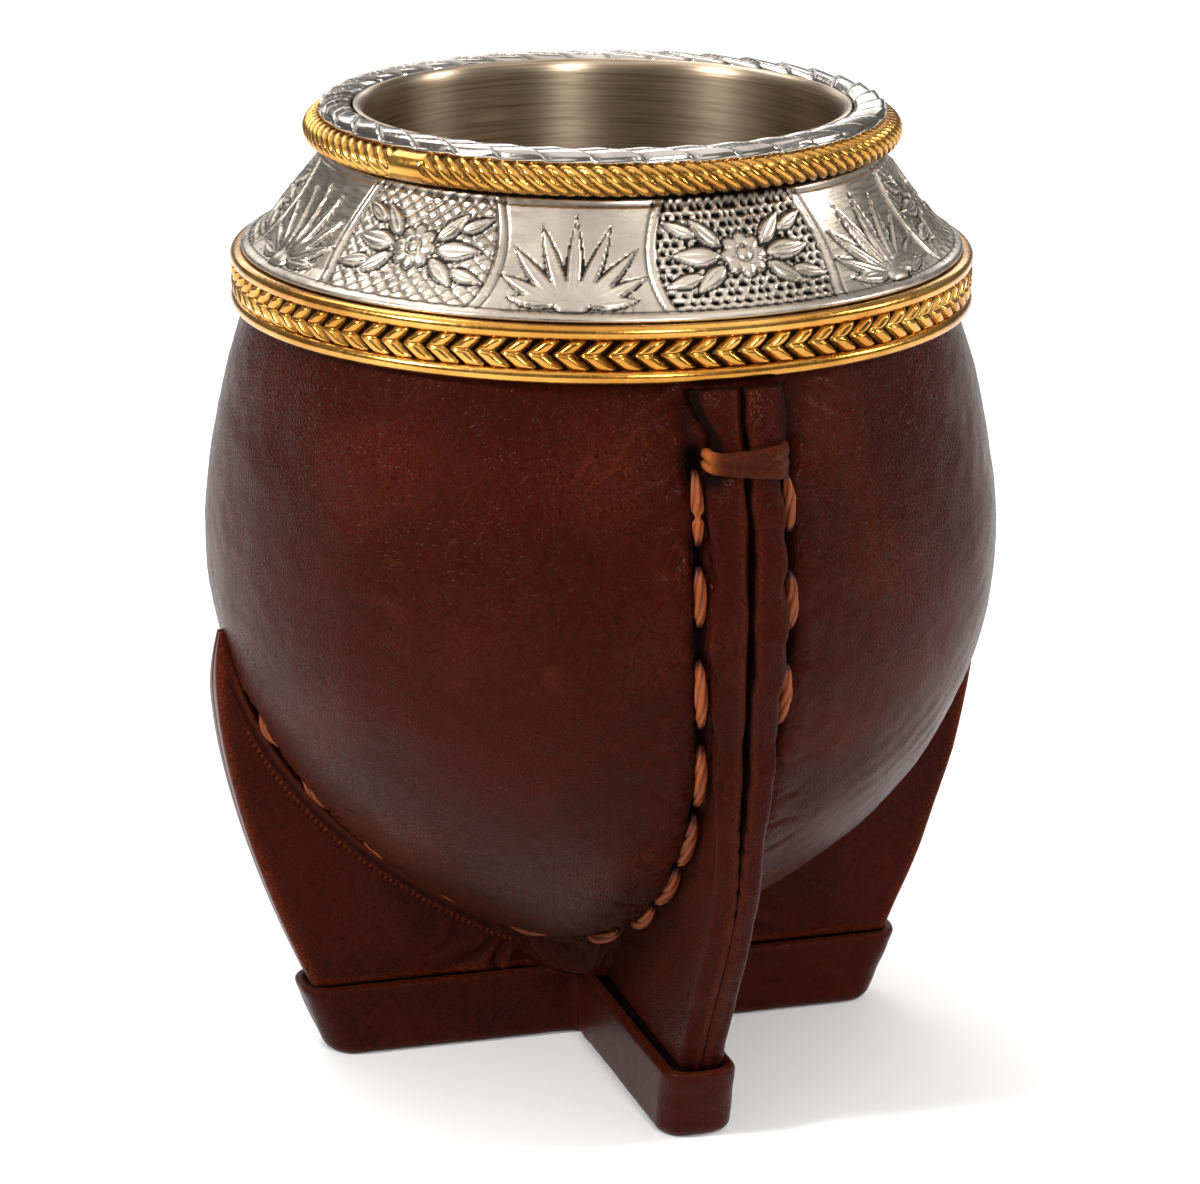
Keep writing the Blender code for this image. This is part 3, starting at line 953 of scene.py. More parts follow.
@dataclass(frozen=True)
class Sewing:
    """The four rows of stitches, two at each end of the cup."""

    left: SewnRow = SewnRow(
        7.6, 10.8, (7.4, 5.8, 7.5, 8.2, 9.0, 8.6, 6.8, 5.0, 6.2, 5.0, 5.4, 5.6, 4.5), pinch=0.62
    )
    right: SewnRow = SewnRow(9.0, 10.9, (5.4, 5.6, 6.5, 7.2, 8.4, 8.0, 6.6, 5.2, 6.0, 5.4, 5.6, 5.2))

    def rows(self) -> list[tuple[Turn, str, ThreadLine]]:
        """Each row's end of the cup, its name and its line."""
        return [
            (end, f"{end.name.lower()}_{hand}", ThreadLine(side, row))
            for end in Turn
            for hand, side, row in (("left", -1, self.left), ("right", 1, self.right))
        ]


@dataclass(frozen=True)
class StitchMarks:
    """The marks that sewing leaves in leather, each with its depth or height and then its widths.

    Attributes:
        groove: The furrow along the thread.
        slot: The slit between two stitches.
        swell: The swelling beside the furrow: its height, its distance and its width.
        hole: A needle's hole: its depth, and its widths along the thread and across it.
        pucker: The ripples round a hole: their height, their reach and the gap inside them.
        ripples: The fewest and the most of them.
        crease: The crease that runs out from a hole.
        slants: The least and the greatest lean of a crease.
        reaches: The shortest and the longest crease.
        strap_z: The height of the strap's hole.
        strap_hole: Its depth, and its widths up and across.
        strap_roll: The rolled leather over it: its height, its widths up and across.
        crack: The slit from that hole up to the band, along the seam's border.
    """

    groove: tuple[float, float] = (0.34, 1.2)
    slot: tuple[float, float] = (1.2, 0.62)
    swell: tuple[float, float, float] = (0.14, 2.4, 1.5)
    hole: tuple[float, float, float] = (0.7, 0.8, 0.6)
    pucker: tuple[float, float, float] = (0.16, 3.4, 0.9)
    ripples: tuple[float, float] = (6.0, 9.0)
    crease: tuple[float, float] = (0.42, 0.5)
    slants: tuple[float, float] = (-0.75, 0.55)
    reaches: tuple[float, float] = (2.5, 9.5)
    strap_z: float = 83.3
    strap_hole: tuple[float, float, float] = (1.9, 2.1, 1.15)
    strap_roll: tuple[float, float, float] = (0.5, 1.0, 1.6)
    crack: tuple[float, float] = (0.5, 0.4)


@dataclass
class Belly:
    """The gourd in its leather cover, drawn in along the stitches and creased beside them."""

    sewing: Sewing
    gourd: Gourd = Gourd()
    seam: SeamLine = SeamLine()
    columns: int = 440
    keel_rows: int = 14
    rows: int = 200
    crowding: float = 0.6
    root: float = 4.0
    keel_radius: float = 24.0
    side_radius: float = 46.4
    sewn_below: float = 91.0
    cover_top: float = 92.6
    neck_top: float = 108.0
    bore: float = 29.32
    floor: float = 29.9
    corner: float = 13.3
    neck: tuple[tuple[float, float], ...] = ((39.0, 95.0), (36.6, 100.0), (32.6, 106.0))
    neck_radius: float = 31.2
    well_end: float = 2.0
    sag: float = 0.2
    marks: StitchMarks = StitchMarks()

    def profile(self) -> tuple[Array, int]:
        """The outline in (radius, z): up the keel and crown, into the neck and down the bore.

        Returns:
            The points, and how many of them carry the leather's relief.
        """
        r = np.linspace(self.root, self.keel_radius, 60)
        keel = evenly(np.stack([r, self.gourd.underside(r)], axis=1), self.keel_rows)
        r = np.linspace(self.keel_radius, self.side_radius, 160)
        side = np.stack([r, self.gourd.underside(r)], axis=1)
        z = np.linspace(side[-1, 1], self.cover_top, 160)[1:]
        crown = np.stack([self.gourd.radius_at(z), z], axis=1)
        outer = np.vstack([keel, evenly(np.vstack([side, crown]), self.rows)[1:]])
        neck = [*self.neck, (self.neck_radius, self.neck_top), (self.bore, self.neck_top)]
        a = quarter(5)
        middle = (self.bore - self.corner, self.floor + self.corner)
        well = np.stack([middle[0] + self.corner * np.cos(a), middle[1] - self.corner * np.sin(a)], axis=1)
        return np.vstack([outer, neck, well, [[self.well_end, self.floor]]]), len(outer)

    def press(self, points: Array, relief: Array, hollow: Array, creased: Array) -> None:
        """Adds what one row after another of stitches does to the leather, in place.

        The leather sinks by a bell about the thread's line and opens as a slot between the
        stitches. Round each hole it rises and falls as the cosine of the angle, and one crease, a
        bell about a slanting line, runs out from it. All fade with distance.

        Args:
            points: Places, (count, 3).
            relief: How far each point stands out.
            hollow: How much painted shade each point gets: in the slots, holes, groove, strap hole and crack.
            creased: How crumpled each point's grain is.
        """
        marks = self.marks
        for number, (end, _, line) in enumerate(self.sewing.rows()):
            local = spun(points, -end.value)
            beside = line.side * (local[:, 0] - self.seam.centre(local[:, 2]))
            chosen = np.nonzero((local[:, 1] < 0) & (beside > 0) & (local[:, 2] < self.sewn_below))[0]
            near = local[chosen]
            gap, along = line.nearest(near)
            rng = np.random.default_rng(40 + number)
            ends = line.row.ends()
            under = np.zeros(len(near))
            for start, stop in ends:
                shown = smooth(along, start - 0.2, start + 0.9) * smooth(-along, -stop - 0.2, 0.9 - stop)
                under = np.maximum(under, shown)
            open_slot = (1 - under) * smooth(along, ends[0, 0] - 3.0, ends[0, 0] - 1.0)
            open_slot = open_slot * smooth(-along, -80.0, -45.0)
            sunk = marks.groove[0] * mound(gap, marks.groove[1])
            sunk = sunk + marks.slot[0] * open_slot * mound(gap, marks.slot[1])
            # Painted shade: the open slots between stitches go near black, and the groove along the thread
            # darkens.
            dark = np.maximum(1.3 * open_slot * mound(gap, 0.8), 0.55 * mound(gap, 0.85))
            for at in ends.ravel():
                away = np.hypot(along - at, gap)
                turn = np.arctan2(gap, along - at) + 0.5 * waves(near, 5.0, 90 + number)
                depth, long, wide = marks.hole
                hole = mound(along - at, long) * mound(gap, wide)
                sunk = sunk + depth * hole
                # Painted shade inside each needle hole.
                dark = np.maximum(dark, np.clip(1.6 * hole, 0.0, 1.0))
                height, reach, inside = marks.pucker
                fade = mound(away, reach) * (1 - mound(away, inside))
                count, phase = rng.uniform(*marks.ripples), rng.uniform(0.0, TAU)
                sunk = sunk + height * fade * np.cos(count * turn + phase)
                slant, reach = rng.uniform(*marks.slants), rng.uniform(*marks.reaches)
                depth, wide = marks.crease
                wander = 0.9 * np.sin(gap / 2.1 + phase)
                cut = mound(along - at - slant * gap - wander, wide) * smooth(-gap, -reach, -0.4 * reach)
                sunk = sunk + depth * cut * smooth(gap, 0.3, 1.5) * rng.uniform(0.3, 1.0)
                creased[chosen] += 0.8 * mound(away, 4.0)
            height, at, wide = marks.swell
            relief[chosen] += height * mound(gap - at, wide) - sunk
            hollow[chosen] = np.maximum(hollow[chosen], np.clip(dark, 0.0, 1.0))
            level, (depth, tall, wide) = marks.strap_z, marks.strap_hole
            hole = mound(near[:, 2] - level, tall) * mound(gap - 0.1, wide)
            height, high, broad = marks.strap_roll
            rolled = mound(near[:, 2] - level - tall - 0.5, high) * mound(gap - 0.8, broad)
            relief[chosen] += height * rolled - depth * hole
            border = self.seam.half(near[:, 2]) - SeamCheeks.folded_in(near[:, 2], line.side)
            depth, wide = marks.crack
            crack = mound(beside[chosen] - border - 0.2, wide) * smooth(near[:, 2], level - 1.0, level + 1.0)
            relief[chosen] -= depth * crack
            # Painted shade in the strap's hole and in the crack up to the band.
            hollow[chosen] = np.maximum(hollow[chosen], np.maximum(smooth(hole, 0.25, 0.6), 0.9 * crack))

    def shape(self) -> Shape:
        """The whole belly: the outline turned about Z, with its angles crowded at the two seams.

        Returns:
            The shape.
        """
        profile, dressed = self.profile()
        radius, z, t = turned_profile(profile, self.columns)
        angle = t - self.crowding / 2 * np.sin(2 * t)
        points = around_axis(radius, z, angle)
        cover = points[:dressed].reshape(-1, 3)
        normals = self.gourd.normal(cover)
        relief = self.sag * (waves(cover, 26.0, 3) * 0.7 + waves(cover, 9.0, 4) * 0.22)
        hollow, creased = np.zeros(len(cover)), np.zeros(len(cover))
        wear = 0.05 + 0.05 * np.clip(waves(cover, 18.0, 5), 0.0, 2.0)
        for end in Turn:
            local = spun(cover, -end.value)
            offset = local[:, 0] - self.seam.centre(local[:, 2])
            front = smooth(-local[:, 1], 0.0, 12.0) * smooth(local[:, 2], 36.0, 66.0)
            beside = mound(np.clip(np.abs(offset) - 7.0, 0.0, None), 7.0)
            tilt = local * (0.30, 0.30, 1.0) + np.abs(offset)[:, None] * (0.0, 0.0, 0.5)
            relief += 0.11 * waves(tilt, 3.0, 17) * front * beside
            creased += 0.55 * front * beside + 0.35 * smooth(local[:, 2], 78.0, 90.0) * (local[:, 1] < 0)
        self.press(cover, relief, hollow, creased)
        relief += 0.02 * waves(cover, 2.4, 6)
        fade = smooth(np.hypot(cover[:, 0], cover[:, 1]), self.root, self.root + 6.0)
        points[:dressed] = (cover + normals * (relief * fade)[:, None]).reshape(dressed, -1, 3)
        kept = {}
        for name, values in (("hollow", hollow), ("wear", wear), ("creased", np.clip(creased, 0.0, 1.4))):
            kept[name] = np.zeros(radius.shape)
            kept[name][:dressed] = values.reshape(dressed, -1)
        return capped_tube(points, (0.0, 0.0, 15.0), **kept)

    def build(self, leather: Material) -> None:
        """Makes the belly in place of its solid."""
        add_piece("belly_leather", self.shape(), leather, ("leather_body",))


@dataclass
class Stitches:
    """The waxed threads: each stitch an arched length of four plies from hole to hole."""

    sewing: Sewing
    gourd: Gourd = Gourd()
    radius: float = 0.72
    plies: int = 4
    lay: float = 13.0
    arch: float = 0.25
    dive: float = 0.7
    covered_from: float = 97.0
    covered: float = 0.5
    overlap: float = 0.35
    ply_depth: float = 0.28
    slack: float = 0.9
    rings: int = 44
    facets: int = 24

    def stitch(self, line: Array, start: float, end: float, pinch: float) -> Shape:
        """One stitch: a tube along the line that leaps from hole to hole, its plies wound round it.

        Its height over the leather is the 0.45 power of a sine, and its radius a spindle's, with
        one swelling for each ply, turning once in the lay's length. The last ones, beside the side
        fins, lie half under the leather's folded edge.

        Args:
            line: The thread's line, (count, 3).
            start: Where along the line it starts.
            end: Where it ends.
            pinch: Where it is pinched, as a part of its length, or 0.

        Returns:
            The shape.
        """
        along = lengths(line)
        t = np.linspace(0.0, 1.0, self.rings)
        s = start - self.overlap + (end - start + 2 * self.overlap) * t
        spine = np.stack([np.interp(s, along, line[:, k]) for k in range(3)], axis=1)
        out = self.gourd.normal(spine)
        bow = np.sin(math.pi * t)
        sunk = self.covered * smooth(np.array(start), self.covered_from - 14.0, self.covered_from)
        rise = -self.dive + (self.dive + self.arch) * bow**0.45 - sunk
        spine = spine + out * rise[:, None]
        run = unit(np.gradient(spine, axis=0))
        beside = unit(np.cross(run, out))
        out = np.cross(beside, run)
        a = np.arange(self.facets) * TAU / self.facets
        slack = self.slack * np.sin(1.3 * s + 5.0 * start)[:, None]
        wound = self.plies * (a[None, :] - TAU * s[:, None] / self.lay) + slack
        ply = np.abs(np.cos(wound / 2)) ** 0.8
        neck = 1 - 0.55 * mound(t - pinch, 0.05) * (pinch > 0)
        size = self.radius * (0.76 + self.ply_depth * ply) * ((0.5 + 0.5 * bow**0.8) * neck)[:, None]
        points = spine[:, None] + size[..., None] * (
            np.cos(a)[None, :, None] * out[:, None] + np.sin(a)[None, :, None] * beside[:, None]
        )
        ends = np.maximum(mound(t, 0.08), mound(t - 1.0, 0.08))[:, None]
        # Painted shade in the grooves between plies and at the ends, where the thread goes into the leather.
        hollow = np.clip(0.55 * (1 - ply) ** 1.3 + 0.8 * ends, 0.0, 1.0)
        return capped_tube(points, spine[self.rings // 2], hollow=hollow)

    def build(self, thread: Material) -> None:
        """Makes the four threads in place of their solids."""
        for end, name, line in self.sewing.rows():
            path = line.line()
            reach = lengths(path)[-1] - 1.0
            parts = [
                self.stitch(path, *span, 0.0 if number else line.row.pinch)
                for number, span in enumerate(line.row.ends())
                if span[1] < reach
            ]
            whole = joined(parts).turned(end.value)
            add_piece(f"stitches_{name}", whole, thread, (f"thread_{name}",))


@dataclass
class SeamCheeks:
    """The two lips of each seam, which close below as a fin: a slit between, and sewn borders."""

    FOLD: ClassVar[tuple[float, float, float]] = (1.3, 85.6, 3.0)

    sewing: Sewing
    seam: SeamLine = SeamLine()
    rows: int = 250
    slit: tuple[float, float] = (0.4, 0.04)
    slit_closes: tuple[float, float] = (33.0, 46.0)
    edge_round: float = 0.55
    border_round: float = 1.25
    depth: float = 0.7
    hole_pitch: float = 2.7
    hole: tuple[float, float] = (0.3, 0.13)
    drawn_in: tuple[float, float] = (0.42, 1.7)
    open_above: tuple[float, float] = (27.0, 41.0)
    cut_back: float = 0.5
    foot_gap: float = 0.35

    @staticmethod
    def folded_in(z: Array, side: int) -> Array:
        """How far a fold of the belly covers the left lip's border, by a bell above the strap.

        Args:
            z: Heights.
            side: Minus 1 for the left lip and 1 for the right.

        Returns:
            The cover at each height.
        """
        height, at, width = SeamCheeks.FOLD
        return height * (side < 0) * mound(z - at, width)

    def section(self, height: Array, half: Array, gap: Array, shown: Array) -> tuple[Array, Array, Array]:
        """Each row's outline: up the slit's wall, over a rounded edge, across, and down the border.

        Args:
            height: How far the seam stands out of the belly.
            half: How far its border is from the centre line.
            gap: How far its edge is from the centre line.
            shown: How far the seam stands open, 0 to 1, which rounds its edge.

        Returns:
            Across, up and painted shade, each (rows, section points).
        """
        r1 = np.minimum(self.edge_round * shown, height / 3)[:, None]
        r2 = np.minimum(self.border_round, height / 1.6)[:, None]
        height, half, gap = height[:, None], half[:, None], gap[:, None]
        wall = np.linspace(0.0, 1.0, 8)[None, :-1]
        a = quarter(7)[None, :-1]
        top = np.linspace(0.0, 1.0, 15)[None, :-1]
        b = quarter(8)[None, :-1]
        down = np.linspace(0.0, 1.0, 8)[None, :]
        dome = 0.22 * np.sin(math.pi * top) * np.minimum(half / 4.5, 1.0)
        across = [gap * np.ones_like(wall), gap + r1 * (1 - np.cos(a))]
        across += [gap + r1 + (half - r2 - gap - r1) * top, half - r2 * (1 - np.sin(b))]
        across += [half * np.ones_like(down)]
        up = [-self.depth + (height - r1 + self.depth) * wall, height - r1 * (1 - np.sin(a))]
        up += [height + dome, height - r2 * (1 - np.cos(b)), (height - r2) * (1 - down) - self.depth * down]
        # Painted shade: the slit's wall and the edge that rounds into it, and the border's foot where it
        # meets the belly.
        dark = [np.broadcast_to(1.0 - 0.15 * wall, up[0].shape), 0.8 * np.cos(a) ** 2 * shown[:, None]]
        dark += [np.zeros(up[2].shape), np.zeros(up[3].shape), 0.55 * smooth(-up[4], -1.0, 0.3)]
        return np.hstack(across), np.hstack(up), np.hstack(dark)

    def cheek(self, line: ThreadLine, seed: int) -> Shape:
        """One cheek: the section carried from the band down to the foot.

        A row's base follows the belly and its edge the seam's reach. The border draws in at each
        hole by a bell, and the lower slit opens in a bell at each pricked hole.

        Args:
            line: The row of stitches on this side.
            seed: Chooses the hand-made unevenness.

        Returns:
            The shape, at the front.
        """
        start_z = self.seam.top - self.cut_back
        edge_z = np.linspace(start_z, self.seam.foot_top - self.foot_gap, 200)
        inner, outer = self.seam.outlines(start_z, self.seam.seam_edge(edge_z), edge_z, self.rows)
        (in_r, in_z), (out_r, out_z) = inner.T, outer.T
        z = (in_z + out_z) / 2
        spot = np.stack([z * 0.0 + seed, z * 0.0, z], axis=1)
        path = line.line()
        down = line.down_points
        along = np.interp(-z, -path[:down, 2], lengths(path)[:down])
        draw, width = self.drawn_in
        drawn = sum(mound(along - at, width) for at in line.row.ends().ravel())
        free = smooth(z, 40.0, 58.0)
        half = self.seam.half(z) + (0.05 + 0.17 * free) * waves(spot, 7.0, seed)
        half = half - draw * np.clip(drawn, 0.0, 1.0) * free - self.folded_in(z, line.side)
        wide, shut = self.slit
        uneven = 1 + 0.25 * waves(spot, 5.0, seed + 1)
        gap = shut + (wide - shut) * smooth(out_z, *self.slit_closes) * uneven
        phase = (lengths(outer) / self.hole_pitch + 0.5) % 1.0
        pricked = smooth(-out_z, -44.0, -40.0) * smooth(out_z, 27.0, 31.0)
        opened, width = self.hole
        gap = np.clip(gap, 0.03, None) + opened * pricked * mound(phase - 0.5, width)
        height = np.hypot(out_r - in_r, out_z - in_z)
        across, up, dark = self.section(height, half, gap, 0.12 + 0.88 * smooth(out_z, *self.open_above))
        t = up / np.maximum(height, 0.1)[:, None]
        x = self.seam.centre(in_z)[:, None] * (1 - t) + self.seam.centre(out_z)[:, None] * t
        x = x + line.side * across
        start = np.sqrt(np.clip(in_r[:, None] ** 2 - x**2, 1.0, None))
        u = start + (out_r[:, None] - start) * t
        level = in_z[:, None] + (out_z - in_z)[:, None] * t
        points = np.stack([x, -u, level], axis=-1)
        normal = unit(np.stack([np.zeros_like(u), -u, level - 60.0], axis=-1))
        crease = 0.03 * waves(points * (0.5, 0.5, 1.3), 3.0, seed + 2) + 0.07 * waves(points, 8.0, seed + 3)
        points = points + normal * (crease * smooth(t, 0.4, 0.9) * (across > 0.9))[..., None]
        # Painted highlight: the top is paler in a band just beside the slit's edge; the small even rest is
        # rubbing.
        wear = 0.04 + 0.14 * mound(across - gap[:, None] - 0.5, 0.4) * smooth(t, 0.8, 1.0)
        # Painted shade: a dark strip along the border from about 80 mm up to the band.
        outside = smooth(across - half[:, None], -1.1, -0.4)
        dark = np.maximum(dark, np.clip(smooth(level, 79.5, 81.5), 0.0, 1.0) * outside)
        creased = 0.5 * smooth(level, 60.0, 80.0) + 0.6 * smooth(-level, -50.0, -25.0)
        middle = points[self.rows // 3].mean(axis=0)
        return capped_tube(points, middle, hollow=dark, wear=wear, creased=creased)

    def build(self, leather: Material) -> None:
        """Makes the four cheeks in place of their solids."""
        for number, (end, name, line) in enumerate(self.sewing.rows()):
            shape = self.cheek(line, 200 + 10 * number).turned(end.value)
            add_piece(f"seam_{name}_leather", shape, leather, (f"seam_{name}",), crease=50)


@dataclass
class SideFins:
    """The two horned fins: flat folded leather, hemmed along the belly with a welt and fine stitches."""

    seam: SeamLine = SeamLine()
    rows: int = 330
    edge_round: float = 0.8
    depth: float = 0.8
    tip: tuple[float, float] = (9.0, 2.0)
    welt: tuple[float, float, float] = (0.34, 0.3, 0.4)
    stitch_inset: float = 1.9
    stitch_pitch: float = 1.05
    hem: float = 4.6
    foot_gap: float = 0.35
    fold_centre: tuple[float, float] = (9.0, 16.0)
    folds: tuple[float, float] = (0.3, 15.0)

    def fin(self, seed: int) -> Shape:
        """A fin that points along +X: a rounded slab's section, carried from the horn to the foot.

        The welt is a bell near the belly, the hem a row of pricks beyond it, and the folds by the
        foot's inner corner are the cosine of the angle about the point that they run from.

        Args:
            seed: Chooses the creases.

        Returns:
            The shape.
        """
        edge_z = np.linspace(self.seam.horn_z, self.seam.foot_top - self.foot_gap, 200)
        edge = self.seam.fin_edge(edge_z, self.seam.side_splay)
        inner, outer = self.seam.outlines(self.seam.horn_z, edge, edge_z, self.rows)
        height = np.maximum(np.hypot(*(outer - inner).T), 0.5)
        above, over = self.tip
        top = self.seam.horn_z
        half = self.seam.fin_half * (1 - 0.78 * smooth(outer[:, 1], top - above, top + over))
        r = np.minimum(np.minimum(self.edge_round, height / 3), half * 0.7)[:, None]
        h, w = height[:, None], half[:, None]
        sewn_part = np.linspace(0.0, 1.0, 30)[None, :-1]
        rest = np.linspace(0.0, 1.0, 12)[None, :-1]
        a = quarter(7)[None, :-1]
        face = np.linspace(0.0, 1.0, 9)[None, :]
        hemmed = np.minimum(self.hem, 0.55 * (h - r))
        up = [-self.depth + (hemmed + self.depth) * sewn_part, hemmed + (h - r - hemmed) * rest]
        up = np.hstack(up + [h - r * (1 - np.sin(a)), h * np.ones_like(face)])
        across = [w * np.ones_like(sewn_part), w * np.ones_like(rest), w - r * (1 - np.cos(a))]
        across = np.hstack(across + [(w - r) * (1 - face)])
        run = lengths(outer)[:, None]
        room = smooth(h, 1.6, 3.4)
        rise, at, width = self.welt
        sewn = mound(up - self.stitch_inset, 0.24) * smooth(h, 4.5, 6.0)
        prick = mound((run / self.stitch_pitch + 0.5) % 1.0 - 0.5, 0.27)
        across = across + room * rise * mound(up - at, width) - 0.08 * room * mound(up - 1.0, 0.3)
        across = across + sewn * (0.12 * prick - 0.12)
        # Painted shade: the gap where the fin meets the belly, a line beside the welt, the stitch groove
        # between pricks, and the groove along the fin's edge.
        dark = 0.9 * smooth(-up, -0.15, 0.3) + 0.3 * room * mound(up - 1.0, 0.22) + 0.5 * sewn * (1 - prick)
        groove = mound(across, 0.2) * (up > h - 0.01)
        up = up - 0.15 * groove
        dark = np.clip(np.maximum(dark, 0.7 * groove), 0.0, 1.0)
        # Painted highlight along the welt; the paler outer edge is rubbing, and the pricks are the fine
        # stitches.
        wear = 0.05 + 0.3 * mound(up - h + 0.5, 0.7) + 0.12 * room * mound(up - at, 0.4) + 0.9 * sewn * prick
        across = np.hstack([across, -across[:, -2::-1]])
        up, dark, wear = (np.hstack([v, v[:, -2::-1]]) for v in (up, dark, wear))
        t = up / h
        u = inner[:, :1] + (outer - inner)[:, :1] * t
        z = inner[:, 1:] + (outer - inner)[:, 1:] * t
        points = np.stack([u, across, z], axis=-1)
        from_r, from_z = self.fold_centre
        away = np.hypot(u - from_r, z - from_z)
        turn = np.arctan2(z - from_z, u - from_r) + 0.12 * waves(points, 8.0, seed + 2)
        height, count = self.folds
        folds = height * np.cos(count * turn) * mound(away - 6.0, 7.0)
        relief = folds + 0.02 * waves(points, 3.2, seed) + 0.1 * waves(points, 13.0, seed + 1)
        points[..., 1] += np.sign(across) * relief * smooth(np.abs(across), 0.8, 2.2) * smooth(up, 2.2, 3.8)
        middle = points[self.rows // 2].mean(axis=0)
        return capped_tube(points, middle, hollow=dark, wear=wear, creased=0.3 * mound(away, 12.0))

    def build(self, leather: Material) -> None:
        """Makes both fins in place of their solids."""
        for node, turn, seed in (("fin_right", 0.0, 300), ("fin_left", math.pi, 310)):
            shape = self.fin(seed).turned(turn)
            add_piece(f"{node}_leather", shape, leather, (node,), crease=50)


@dataclass
class CornerWebs:
    """The folds of leather that run from each thread's corner down to the foot's inner corners."""

    sewing: Sewing
    seam: SeamLine = SeamLine()
    foot_top: float = 8.6
    columns: int = 70
    rows: int = 60
    thickness: float = 0.9
    early: int = 15
    late: int = 80
    reach: float = 6.0
    hollowed: float = 1.6
    folds: tuple[float, float] = (0.22, 5.5)

    def web(self, line: ThreadLine, seed: int) -> Shape:
        """One web: straight lines from the thread's corner arc to the foot, hollowed by a sine.

        Args:
            line: The row of stitches above it.
            seed: Chooses the wrinkles.

        Returns:
            The shape, at the front.
        """
        path = line.line()
        arc = evenly(path[line.down_points - self.early : line.down_points + self.late], self.columns)
        out = self.seam.gourd.normal(arc)
        upper = arc - 0.1 * out
        turn = np.linspace(0.0, 1.0, self.columns)
        shift = self.seam.shift_at_foot * (1 - turn)
        low = np.stack(
            [
                line.side * (self.seam.fin_half + self.reach * turn) + shift,
                -(self.seam.fin_half + self.reach * (1 - turn)),
                np.full(self.columns, self.foot_top),
            ],
            axis=1,
        )
        t = np.linspace(0.0, 1.0, self.rows)[:, None, None]
        points = upper[None] * (1 - t) + low[None] * t
        inward = unit(np.array([-line.side * 0.5, 0.5, 0.75]))
        points = points + inward * (self.hollowed * np.sin(math.pi * t))
        spread = np.broadcast_to(turn, points.shape[:2])
        height, count = self.folds
        fold = np.cos(TAU * count * spread + 1.6 * waves(points, 9.0, seed)) * height
        fold = fold + 0.12 * waves(points * (1.0, 1.0, 0.4), 3.0, seed + 1)
        ends = np.sin(math.pi * t[..., 0]) ** 0.5
        points = points - inward * (fold * ends)[..., None]
        inner = points + inward * self.thickness
        loop = np.concatenate([points, inner[::-1]])
        # Painted shade in the folds' troughs and along the top, where the web meets the belly.
        dark = np.clip(0.25 * ends * (fold < -0.1), 0.0, 1.0) + 0.5 * mound(t[..., 0], 0.03)
        hollow = np.concatenate([dark, dark[::-1]]) * np.ones(loop.shape[:2])
        shape = grid(loop, (True, False), hollow=hollow, wear=np.full_like(hollow, 0.06))
        return shape.outward((0.0, 0.0, 30.0))

    def build(self, leather: Material) -> None:
        """Makes the four webs."""
        for number, (end, name, line) in enumerate(self.sewing.rows()):
            shape = self.web(line, 400 + 10 * number).turned(end.value)
            add_piece(f"web_{name}", shape, leather)


